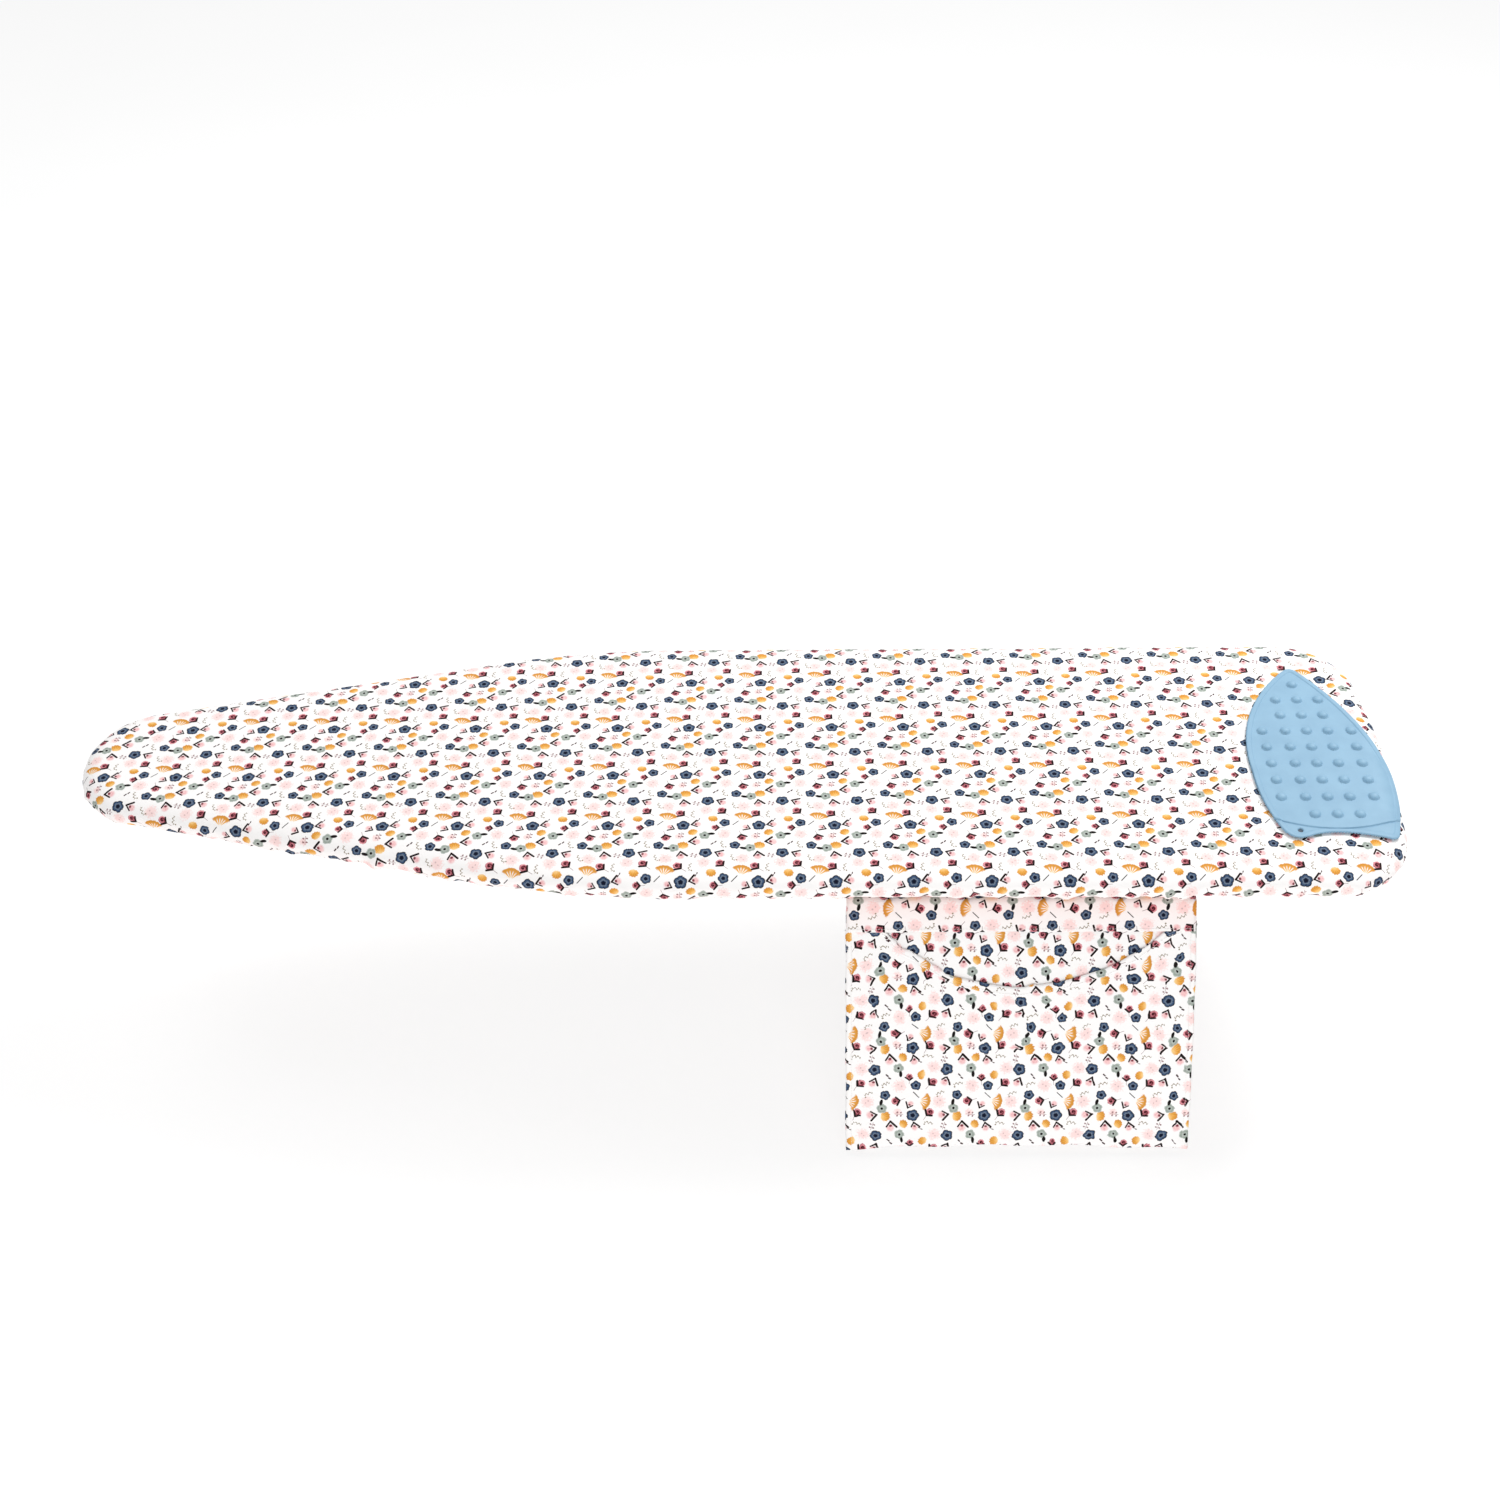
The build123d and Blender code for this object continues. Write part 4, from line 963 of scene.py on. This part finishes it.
def make_hem():
    """The gathered casing along the cover's lower edge, the elastic in it and its seam."""
    middle = HEM_INSET + CASING_WIDTH / 2
    loop = []
    for k in range(14):
        across, up = square_round(math.cos(math.tau * k / 14)), square_round(math.sin(math.tau * k / 14))
        loop.append((middle + across * (CASING_WIDTH / 2 + 0.0004), HEM_Z + up * 0.0013))
    casing = ring_band("hem_casing_cloth", loop, hem_ripple)
    dress(casing, COTTON, "printed_cotton", "board", "hem_casing")
    half, thin = 0.0024, 0.0004
    strip = [(middle + a * half, HEM_Z + b * thin) for a, b in ((-1, -1), (1, -1), (1, 1), (-1, 1))]
    elastic = ring_band("hem_elastic_band", strip, elastic_ripple)
    dress(elastic, WEBBING, "elastic_webbing", "board", "hem_elastic")
    points, normals, _ = outline(HEM_STEP)
    place = points - normals * (HEM_INSET - 0.0012)
    path = np.column_stack([place, np.full(len(place), BASE_Z - 0.0008)])
    path = np.vstack([path, path[:1]])
    down = np.tile([0.0, 0.0, -1.0], (len(path), 1))
    seam = stitch_row("hem_stitches", path, down, pitch=0.0042, stitch=0.0030)
    dress(seam, THREAD, "printed_cotton", "board")


make_hem()


# ---------------------------------------------------------------- pads, panel and straps


def make_pad(name, inset, low, high, rounding, lumps, seed):
    """A pad cut to the board's outline, with a soft edge and a slightly uneven surface."""
    points, normals, _ = outline(PAD_STEP)
    spine = spine_points(points)
    rim = points - normals * inset
    rows, ups = [], []
    shares = np.linspace(0.03, 1.0, 20)
    middle = (low + high) / 2
    half = (high - low) / 2
    for side in (1.0, -1.0):
        for share in shares if side > 0 else shares[::-1]:
            place = spine + (rim - normals * rounding - spine) * share
            rows.append(np.column_stack([place, np.full(len(place), middle + side * half)]))
            ups.append(side)
        if side > 0:
            for angle in np.linspace(0, math.pi, 9)[1:-1]:
                place = rim - normals * rounding * (1 - math.sin(angle))
                rows.append(np.column_stack([place, np.full(len(place), middle + half * math.cos(angle))]))
                ups.append(math.cos(angle))
    count = len(points)
    sheet = np.concatenate(rows)
    bulge = lumps * soft_noise(sheet[:, 0], sheet[:, 1], 0.05, seed)
    sheet[:, 2] += bulge * np.repeat(ups, count)
    faces = grid_faces(len(rows), count, wrap=True) + spine_faces(count)
    faces += spine_faces(count, first=(len(rows) - 1) * count, flip=True)
    return make_mesh(name, sheet, faces)


foam_low, foam_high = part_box("foam_pad")
felt_low, felt_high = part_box("felt_pad")
foam = make_pad(
    "foam_pad_sheet",
    inset=0.0110,
    low=foam_low.z,
    high=foam_high.z,
    rounding=0.003,
    lumps=0.00008,
    seed=SEED + 8,
)
dress(foam, FOAM, "pad_foam", "board", "foam_pad")
felt = make_pad(
    "felt_pad_sheet",
    inset=0.0170,
    low=felt_low.z,
    high=felt_high.z - 0.0010,
    rounding=0.004,
    lumps=0.00006,
    seed=SEED + 9,
)
dress(felt, FELT, "pad_felt", "board", "felt_pad")


PANEL_MARGIN = 0.0215
PANEL_CELL = (0.0240, 0.0115)
PANEL_STRAND = (0.0052, 0.0026)


def make_panel():
    """Expanded steel: a lattice of slanted strands round diamond openings."""
    cell_x, cell_y = PANEL_CELL
    strand_x, strand_y = PANEL_STRAND
    verts, faces, known = [], [], {}

    def vertex(x, y):
        key = (round(x, 6), round(y, 6))
        if key not in known:
            known[key] = len(verts)
            verts.append((x, y, panel_low.z + 0.0006))
        return known[key]

    for column in range(int((TAIL_X - NOSE_X) / cell_x * 2)):
        for row in range(-17, 18):
            x = NOSE_X + 0.02 + column * cell_x / 2
            y = row * cell_y + (column % 2) * cell_y / 2
            if edge_distance(x, y) < PANEL_MARGIN:
                continue
            outer, inner = (
                [vertex(x - wide, y), vertex(x, y - tall), vertex(x + wide, y), vertex(x, y + tall)]
                for wide, tall in (
                    (cell_x / 2, cell_y / 2),
                    (cell_x / 2 - strand_x, cell_y / 2 - strand_y),
                )
            )
            faces += [(outer[k], outer[(k + 1) % 4], inner[(k + 1) % 4], inner[k]) for k in range(4)]
    panel = make_mesh("mesh_panel_steel", verts, faces, smooth=False)
    thicken(panel, 0.0011, 0.0)
    dress(panel, COATED, "coated_steel", "board", "mesh_panel")


make_panel()


STRAP_NARROWING = 0.06
STRAP_DROOP = 0.0022


def make_strap(node, seed):
    """A ribbed elastic strap, slack enough to hang a little between its clips."""
    low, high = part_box(node)
    across = np.linspace(low.x + 0.0004, high.x - 0.0004, 11)
    length = np.linspace(low.y, high.y, 61)
    grid_x, grid_y = np.meshgrid(across, length)
    share = (grid_y - low.y) / (high.y - low.y)
    narrow = 1 - STRAP_NARROWING * np.sin(share * math.pi)
    middle = (low.x + high.x) / 2
    x = middle + (grid_x - middle) * narrow
    z = (low.z + high.z) / 2 - STRAP_DROOP * np.sin(share * math.pi)
    z = z + 0.0003 * soft_noise(grid_x, grid_y, 0.03, seed)
    points = np.column_stack([x.ravel(), grid_y.ravel(), z.ravel()])
    cloth = np.column_stack([grid_x.ravel(), grid_y.ravel()])
    strap = make_mesh(node + "_webbing", points, grid_faces(len(length), len(across)), cloth)
    thicken(strap, 0.0009, 0.0)
    return dress(strap, WEBBING, "elastic_webbing", "board", node)


for number, strap_node in enumerate(("strap_nose", "strap_mid", "strap_tail")):
    strap = make_strap(strap_node, SEED + 20 + number)


# ---------------------------------------------------------------- the iron rest


def mat_edge():
    """The mat's outline: the lowest points of the CAD mat in order round its middle, with soft corners."""
    verts = np.array([v.co for v in frame["nodes"]["iron_rest_mat"].data.vertices])
    base = verts[verts[:, 2] < mat_low.z + 0.0004][:, :2]
    base = base[np.hypot(base[:, 0] - HANG_HOLE[0], base[:, 1] - HANG_HOLE[1]) > 0.0045]
    base = np.unique(np.round(base, 6), axis=0)
    order = np.argsort(np.arctan2(base[:, 1] + 0.010, base[:, 0] - MAT_X))
    closed = base[np.append(order, order[0])]
    reach = reach_along(closed)
    edge = read_off(np.arange(0.0, reach[-1], 0.0010), reach, closed)
    for turn in range(90):
        eased = (np.roll(edge, 1, axis=0) + 2 * edge + np.roll(edge, -1, axis=0)) / 4
        near = (edge[:, 0] < MAT_X) & (edge[:, 1] < -0.10)
        edge = np.where((near | (turn < 8))[:, None], eased, edge)
    sag = smoothstep(MAT_X - 0.01, MAT_X + 0.05, edge[:, 0]) * smoothstep(0.11, 0.13, -edge[:, 1])
    corner = np.exp(-(((edge[:, 0] - MAT_X + 0.040) / 0.014) ** 2)) * smoothstep(0.09, 0.11, -edge[:, 1])
    edge[:, 1] -= 0.004 * (sag + corner)
    return edge


def nearest(x, y, path):
    """The distance from each point to the nearest point of a path."""
    found = np.full(x.shape, 1.0)
    for px, py in path:
        found = np.minimum(found, np.hypot(x - px, y - py))
    return found


def mat_height(x, y, edge):
    """How high the mat's moulded face stands above its underside."""
    gap = nearest(x, y, edge)
    height = MAT_PLATE + MAT_LIP * (1 - smoothstep(MAT_LIP_WIDTH - 0.0012, MAT_LIP_WIDTH + 0.0004, gap))
    rounding = np.clip(1 - gap / 0.0014, 0.0, 1.0)
    height = height * np.sqrt(np.clip(1 - rounding**2, 0.0, 1.0))
    for row, count in enumerate(DOME_ROWS):
        dome_y = DOME_TOP_ROW_Y - row * DOME_PITCH_Y
        shift = 0.0015 if row == len(DOME_ROWS) - 1 else -0.0030
        for column in DOME_COLUMNS[count]:
            share = np.hypot(x - MAT_X - shift - column, y - dome_y) / DOME_RADIUS
            height = height + DOME_RISE * np.sqrt(np.clip(1 - share**2.2, 0.0, 1.0))
    turns = np.linspace(-1.0, 1.0, 120)
    arc = np.column_stack([MAT_X + 0.062 * turns, -0.122 + 0.014 * turns**2])
    step = 1 - smoothstep(0.0004, 0.0016, nearest(x, y, arc))
    hole_gap = np.hypot(x - HANG_HOLE[0], y - HANG_HOLE[1]) - HANG_HOLE_RADIUS
    hole = 1 - smoothstep(0.0, 0.0005, hole_gap)
    return (height - 0.0012 * step) * (1 - 0.8 * hole)


def drape(x, y, height):
    """Lays flat points on the cover: level on the top and bent down over its rounded edge."""
    insets, heights, sides, rises, reach = edge_profile(181)
    small = 0.0005
    slope_x = edge_distance(x + small, y) - edge_distance(x - small, y)
    slope_y = edge_distance(x, y + small) - edge_distance(x, y - small)
    size = np.maximum(np.hypot(slope_x, slope_y), 1e-9)
    way_x, way_y = -slope_x / size, -slope_y / size
    past = np.clip(SHOULDER - edge_distance(x, y), 0.0, None)
    moved = past - (SHOULDER - np.interp(past, reach, insets))
    side, rise = np.interp(past, reach, sides), np.interp(past, reach, rises)
    lift = 0.0004 + height
    z = np.interp(past, reach, heights) + rise * lift
    back = moved - side * lift
    return np.column_stack([x - way_x * back, y - way_y * back, z])


def make_iron_rest():
    """The silicone mat: domes, a step line and a soft lip, bent down over the tail's rounded edge."""
    edge = mat_edge()
    columns, rows, coarse = MAT_COLUMNS, MAT_ROWS, MAT_UNDER_EVERY
    low, high = edge[:, 0].min(), edge[:, 0].max()
    middle, half = (low + high) / 2, (high - low) / 2
    lines = middle + half * 0.9994 * np.sin(np.linspace(-math.pi / 2, math.pi / 2, columns))
    left, right = np.argmin(edge[:, 0]), np.argmax(edge[:, 0])
    turned = np.roll(edge, -right, axis=0)
    split = (left - right) % len(edge)
    back_edge, front_edge = turned[: split + 1], turned[split:]
    back_y = np.interp(lines, back_edge[::-1, 0], back_edge[::-1, 1])
    front_y = np.interp(lines, front_edge[:, 0], front_edge[:, 1])
    even = np.linspace(0.0, 1.0, rows)
    share = 0.5 * even + 0.5 * (0.5 - 0.5 * np.cos(even * math.pi))
    x = np.tile(lines, (rows, 1))
    y = front_y + share[:, None] * (back_y - front_y)
    top = drape(x.ravel(), y.ravel(), mat_height(x.ravel(), y.ravel(), edge))
    under_x, under_y = x[coarse:-1:coarse].ravel(), y[coarse:-1:coarse].ravel()
    under = drape(under_x, under_y, under_x * 0)
    faces = grid_faces(rows, columns)
    levels = len(under_x) // columns
    # The underside's rows lie between the top's first row and its last
    firsts = [0, *((rows + k) * columns for k in range(levels)), (rows - 1) * columns]
    ring = [range(first, first + columns) for first in firsts]
    for near, far in zip(ring, ring[1:]):
        faces += [(near[i + 1], near[i], far[i], far[i + 1]) for i in range(columns - 1)]
    piece = make_mesh("iron_rest_silicone", np.vstack([top, under]), faces)
    dress(piece, SILICONE, "blue_silicone", "iron_rest", "iron_rest_mat")


make_iron_rest()


# ---------------------------------------------------------------- the pocket

hinge = next(Vector(j["pos_m"]) for j in frame["joints"] if j["name"] == "pocket_swing")
POCKET_TILT = math.radians(23.0)
DOWN = np.array([0.0, -math.sin(POCKET_TILT), -math.cos(POCKET_TILT)])
OUT = np.array([0.0, -math.cos(POCKET_TILT), math.sin(POCKET_TILT)])
POCKET_HALF_TOP = 0.1725
POCKET_HALF_FOOT = 0.1750
POCKET_DROP = 0.277
POCKET_LEAN = 0.004
FOOT_RISE = 0.0050
FOOT_WAVE = 0.0012
FRONT_BELLY = 0.0012
SAG_FRAMES = 20
FRONT_SHIFT = 0.031
PANEL_EASE = 1.042
PANEL_GAP = 0.0014
BAND_DEPTH = 0.033
MOUTH = [
    (-0.175, 0.022),
    (-0.135, 0.027),
    (-0.118, 0.046),
    (-0.095, 0.063),
    (-0.070, 0.082),
    (-0.030, 0.0905),
    (0.000, 0.092),
    (0.040, 0.088),
    (0.086, 0.073),
    (0.120, 0.051),
    (0.142, 0.031),
    (0.175, 0.020),
]


def hang(across, fall, out):
    """Points of the pocket from its own coordinates: across, down the slope and out from its plane."""
    across, fall, out = np.broadcast_arrays(across, fall, out)
    base = np.array([hinge.x, hinge.y, hinge.z])
    share = fall / POCKET_DROP
    bow = 0.10 * fall * (1 - share) * (fall > 0)
    rows = base + DOWN * fall[..., None] + OUT * (out + bow)[..., None]
    rows[..., 0] += across + POCKET_LEAN * share
    return rows.reshape(-1, 3)


def half_at(fall):
    """The pocket's half width at a depth."""
    share = np.clip(fall / POCKET_DROP, 0, 1)
    return POCKET_HALF_TOP + (POCKET_HALF_FOOT - POCKET_HALF_TOP) * share


def foot_line(across):
    """How deep the pocket's lower edge hangs: its corners lower than its middle, and a little wavy."""
    share = across / POCKET_HALF_FOOT
    return POCKET_DROP - FOOT_RISE * (1 - share**2) + FOOT_WAVE * np.sin(across * 70 + 0.6)


def ripple_out(across, fall):
    """The soft waves of both pocket panels."""
    return 0.0011 * soft_noise(across, fall * 0.5, 0.11, SEED + 40) * smoothstep(0.02, 0.2, fall)


def panel_cloth(across, fall):
    """Cloth coordinates of the pocket: the print lies upright on it, eased a little across."""
    return np.column_stack([np.ravel(across) * PANEL_EASE, -np.ravel(fall)])


def make_back():
    columns, rows = 71, 57
    share_x, share_y = np.meshgrid(np.linspace(-1, 1, columns), np.linspace(0, 1, rows))
    fall = 0.012 + share_y * (POCKET_DROP - 0.012)
    across = share_x * half_at(fall)
    fall = fall - share_y * (POCKET_DROP - foot_line(across))
    out = ripple_out(across, fall) - 0.0006
    cloth = panel_cloth(across, fall)
    back = make_mesh("pocket_back_cloth", hang(across, fall, out), grid_faces(rows, columns), cloth)
    thicken(back, 0.0007, 0.0)
    return dress(back, COTTON, "printed_cotton", "pocket", "pocket_back")


def front_grid(columns, rows):
    """The front panel before it sags: bellied out from the back."""
    share_x, share_y = np.meshgrid(np.linspace(-1, 1, columns), np.linspace(0, 1, rows))
    guess = share_x * POCKET_HALF_TOP
    mouth = np.interp(guess, [p[0] for p in MOUTH], [p[1] for p in MOUTH])
    mouth = (mouth + np.roll(mouth, 1, axis=1) + np.roll(mouth, -1, axis=1)) / 3
    mouth[:, 0], mouth[:, -1] = mouth[:, 1], mouth[:, -2]
    fall = mouth + share_y * (foot_line(guess) - mouth)
    across = share_x * half_at(fall)
    belly = (1 - share_x**2) ** 0.8 * (1 - share_y) ** 0.7 * smoothstep(0.0, 0.05, fall)
    out = PANEL_GAP + FRONT_BELLY * belly + ripple_out(across, fall)
    return across, fall, out


CLOTH_SETTINGS = {
    "quality": 6,
    "mass": 0.12,
    "tension_stiffness": 25,
    "compression_stiffness": 25,
    "shear_stiffness": 12,
    "bending_stiffness": 0.6,
    "air_damping": 4.0,
}


def sag(piece, pinned, collider, frames):
    """Lets the cloth hang from its pinned points, under gravity that points down the pocket's slope."""
    scene = bpy.context.scene
    before = scene.gravity.copy()
    scene.gravity = Vector(DOWN * 9.81 - OUT * 1.2)
    bumper = collider.modifiers.new("Collision", "COLLISION")
    collider.collision.thickness_outer = 0.0012
    group = piece.vertex_groups.new(name="pinned")
    group.add(pinned, 1.0, "REPLACE")
    cloth = piece.modifiers.new("Cloth", "CLOTH")
    for name, value in CLOTH_SETTINGS.items():
        setattr(cloth.settings, name, value)
    cloth.settings.vertex_group_mass = "pinned"
    cloth.collision_settings.distance_min = 0.0012
    cloth.collision_settings.use_self_collision = False
    cloth.point_cache.frame_start = 1
    cloth.point_cache.frame_end = frames
    for number in range(1, frames + 1):
        scene.frame_set(number)
    apply_modifiers(piece)
    collider.modifiers.remove(bumper)
    scene.frame_set(1)
    scene.gravity = before


def make_front(back):
    columns, rows = ((101, 71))
    across, fall, out = front_grid(columns, rows)
    cloth = panel_cloth(across, fall - FRONT_SHIFT)
    front = make_mesh("pocket_front_cloth", hang(across, fall, out), grid_faces(rows, columns), cloth)
    ids = np.arange(rows * columns).reshape(rows, columns)
    edge = np.concatenate([ids[:, 0], ids[:, -1], ids[-1]]).tolist()
    sag(front, edge, back, SAG_FRAMES)
    points = np.array([v.co for v in front.data.vertices])
    flat = points - np.array(hinge)
    fall = flat @ DOWN
    # Nothing of the front panel stays nearer to the back panel than the gap between them
    upright = flat[:, 0] - POCKET_LEAN * fall / POCKET_DROP
    plane = hang(upright, fall, ripple_out(flat[:, 0], fall) + PANEL_GAP)
    behind = np.clip((plane - points) @ OUT, 0.0, None)
    points += behind[:, None] * OUT
    front.data.vertices.foreach_set("co", points.ravel())
    thicken(front, 0.0007, 0.0)
    front.data.polygons.foreach_set("use_smooth", [True] * len(front.data.polygons))
    dress(front, COTTON, "printed_cotton", "pocket", "pocket_front")
    return front, points.reshape(rows, columns, 3)


back = make_back()
front, front_points = make_front(back)


def make_mouth_hem(points):
    """The hem folded over along the mouth, and its stitches."""
    columns = points.shape[1]
    depths = np.linspace(0.0, 0.010, 5)
    strips = [read_off(depths, reach_along(points[:, c]), points[:, c]) for c in range(columns)]
    lower = np.array(strips).transpose(1, 0, 2)
    rise = np.array([0.0003, 0.0007, 0.0007, 0.0006, 0.0003])[:, None, None] * OUT
    outer, inner = lower + rise, lower - rise
    loop = np.concatenate([outer, inner[::-1]])
    flat = loop.reshape(-1, 3) - np.array(hinge)
    cloth = panel_cloth(flat[:, 0], flat @ DOWN - FRONT_SHIFT)
    faces = grid_faces(len(loop), columns, close=True)
    hem = make_mesh("mouth_hem_cloth", loop.reshape(-1, 3), faces, cloth)
    dress(hem, COTTON, "printed_cotton", "pocket", "mouth_hem")
    line = lower[3] + OUT * 0.0009
    seam = stitch_row("mouth_stitches", line, np.tile(OUT, (columns, 1)))
    dress(seam, THREAD, "printed_cotton", "pocket")


make_mouth_hem(front_points)


# Round the side hem's section: out past the pocket's edge, up from its plane, and along its cloth
SIDE_HEM = [
    (-0.0070, 0.0016, -0.007),
    (-0.0040, 0.0021, -0.004),
    (-0.0010, 0.0018, -0.001),
    (0.0006, 0.0006, 0.001),
    (0.0006, -0.0008, 0.003),
    (-0.0010, -0.0016, 0.005),
    (-0.0040, -0.0017, 0.008),
    (-0.0070, -0.0012, 0.011),
]


def make_side_hem(side, node):
    """A folded hem that closes one side of the pocket, back and front together."""
    fall = np.linspace(0.032, POCKET_DROP - 0.001, 60)
    edge = half_at(fall) + 0.0004 * np.sin(fall * 90 + side)
    loop = []
    for reach, lift, _ in SIDE_HEM:
        across = side * (edge + reach)
        loop.append(hang(across, fall, lift + ripple_out(across, fall)))
    loop = np.array(loop)
    count = len(fall)
    faces = grid_faces(len(loop), count)
    cloth = np.tile(panel_cloth(side * edge, fall - FRONT_SHIFT), (len(loop), 1))
    cloth[:, 0] += side * PANEL_EASE * np.repeat([turned for _, _, turned in SIDE_HEM], count)
    hem = make_mesh(node + "_cloth", loop.reshape(-1, 3), faces, cloth)
    dress(hem, COTTON, "printed_cotton", "pocket", node)
    line = hang(side * (edge - 0.0052), fall, 0.0022 + ripple_out(side * edge, fall))
    seam = stitch_row(node + "_stitches", line, np.tile(OUT, (count, 1)))
    dress(seam, THREAD, "printed_cotton", "pocket")


make_side_hem(-1, "pocket_binding_nose")
make_side_hem(1, "pocket_binding_tail")


def make_band():
    """The band that joins the pocket to the cover: flat under the board, over the fold, down to its hem."""
    columns = 71
    half = POCKET_HALF_TOP - 0.0005
    path = [
        (tab_high.y - 0.002, tab_low.z + 0.0002),
        (-0.166, tab_low.z),
        (hinge.y + 0.006, tab_low.z - 0.0002),
    ]
    for fall in (0.0015, 0.006, 0.012, 0.018, 0.024, 0.030, BAND_DEPTH):
        out = np.interp(fall, [0.0, 0.004, 0.012, BAND_DEPTH], [0.0016, 0.0030, 0.0034, 0.0026])
        path.append(hang(0.0, fall, out)[0, 1:])
    path = np.array(path)
    fine = read_off(np.linspace(0, len(path) - 1, 46), np.arange(len(path)), path)
    for _ in range(6):
        fine[1:-1] = (fine[:-2] + fine[1:-1] * 2 + fine[2:]) / 4
    reach = reach_along(fine)
    across = np.linspace(-half, half, columns)
    points, cloth = [], []
    for (y, z), far in zip(fine, reach):
        wave = 0.0006 * soft_noise(across, across * 0 + far, 0.07, SEED + 50) * smoothstep(0.02, 0.06, far)
        points.append(np.column_stack([across + hinge.x, np.full(columns, y), z + wave]))
        cloth.append(np.column_stack([-across, np.full(columns, far)]))
    points, cloth = np.concatenate(points), np.concatenate(cloth)
    band = make_mesh("pocket_band_cloth", points, grid_faces(len(fine), columns), cloth)
    thicken(band, 0.0008, 0.0)
    band.data.materials.append(COTTON)
    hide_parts("pocket_band", "pocket_tab")
    end = tuple(hang(0.0, 0.012, 0.002)[0])
    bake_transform(band)
    line = np.array([hang(a, BAND_DEPTH - 0.003, 0.0033)[0] for a in across])
    seam = stitch_row("band_stitches", line, np.tile(OUT, (columns, 1)))
    dress(seam, THREAD, "printed_cotton", "pocket")
    return band


band = make_band()

# ---------------------------------------------------------------- the steel and plastic parts

PLAIN_PARTS = [
    (COATED, "rim_tube rib_nose rib_mid rib_tail leg_bracket adjuster_rail lever_bracket"),
    (PLATED, "rim_joiner bracket_rivets rail_rivets lever_rivets lever_pin lever_spring release_lever"),
    (GRIP, "lever_grip"),
    (CLIP, "strap_clips"),
]
for plain_material, nodes in PLAIN_PARTS:
    for node in nodes.split():
        paint(frame["nodes"][node], plain_material)

# ---------------------------------------------------------------- floor, light and camera


FLOOR_GLOW = 0.66
FLOOR_DROP = 0.004
WORLD_STRENGTH = 0.56
LIGHTS = [
    # Name, place, what it points at, size and power
    ("key", (1.1, 1.1, 1.9), (-0.1, 0.0, 0.0), 0.9, 40.0),
    ("nose", (-1.7, 0.9, 2.0), (-0.8, 0.0, 0.0), 1.2, 12.0),
    ("fill", (0.0, -2.6, 0.5), (0.0, -0.2, -0.1), 1.6, 22.0),
]


def make_stage():
    """A pale paper floor just under the pocket, lit so that it looks white but still takes a shadow."""
    floor_z = min(back_low.z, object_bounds()[0][2]) - FLOOR_DROP
    size = 12.0
    corners = [(a * size, b * size, floor_z) for a, b in ((-1, -1), (1, -1), (1, 1), (-1, 1))]
    floor = make_mesh("floor", corners, [(0, 1, 2, 3)], smooth=False)
    paper = Material("floor_paper")
    tone = paper.noise(paper.point(), 3.0, 2.0)
    grey = paper.ramp(tone, [(0.0, (0.42, 0.42, 0.42, 1)), (1.0, (0.44, 0.44, 0.44, 1))])
    paper.finish(
        grey,
        Roughness=1.0,
        Specular_IOR_Level=0.0,
        Emission_Color=(1.0, 1.0, 1.0, 1.0),
        Emission_Strength=FLOOR_GLOW,
    )
    floor.data.materials.append(paper.material)


def make_light(name, place, target, size, power):
    data = bpy.data.lights.new(name, "AREA")
    data.shape = "SQUARE"
    data.size = size
    data.energy = power
    light = bpy.data.objects.new(name, data)
    bpy.context.scene.collection.objects.link(light)
    light.location = place
    light.rotation_euler = (Vector(target) - Vector(place)).to_track_quat("-Z", "Y").to_euler()


def make_world():
    world = bpy.data.worlds.new("studio")
    bpy.context.scene.world = world
    world.use_nodes = True
    background = world.node_tree.nodes["Background"]
    background.inputs["Color"].default_value = (1.0, 1.0, 1.0, 1.0)
    background.inputs["Strength"].default_value = WORLD_STRENGTH


def make_camera():
    """A camera in front of the board and above it, turned a little to the nose and slightly rolled."""
    pitch, yaw, roll = math.radians(40.8), math.radians(1.6), math.radians(-1.3)
    data = bpy.data.cameras.new("camera")
    data.sensor_width = 36.0
    data.lens = 45.65
    data.clip_end = 50.0
    camera = bpy.data.objects.new("camera", data)
    bpy.context.scene.collection.objects.link(camera)
    place = Vector((NOSE_X + 0.7478, -1.5071, BASE_Z + 1.3388))
    turn = Matrix.Rotation(yaw, 4, "Z") @ Matrix.Rotation(math.radians(90) - pitch, 4, "X")
    camera.matrix_world = Matrix.Translation(place) @ turn @ Matrix.Rotation(roll, 4, "Z")
    bpy.context.scene.camera = camera


make_stage()
make_world()
for light in LIGHTS:
    make_light(*light)
make_camera()
bpy.context.scene.view_settings.view_transform = "Standard"
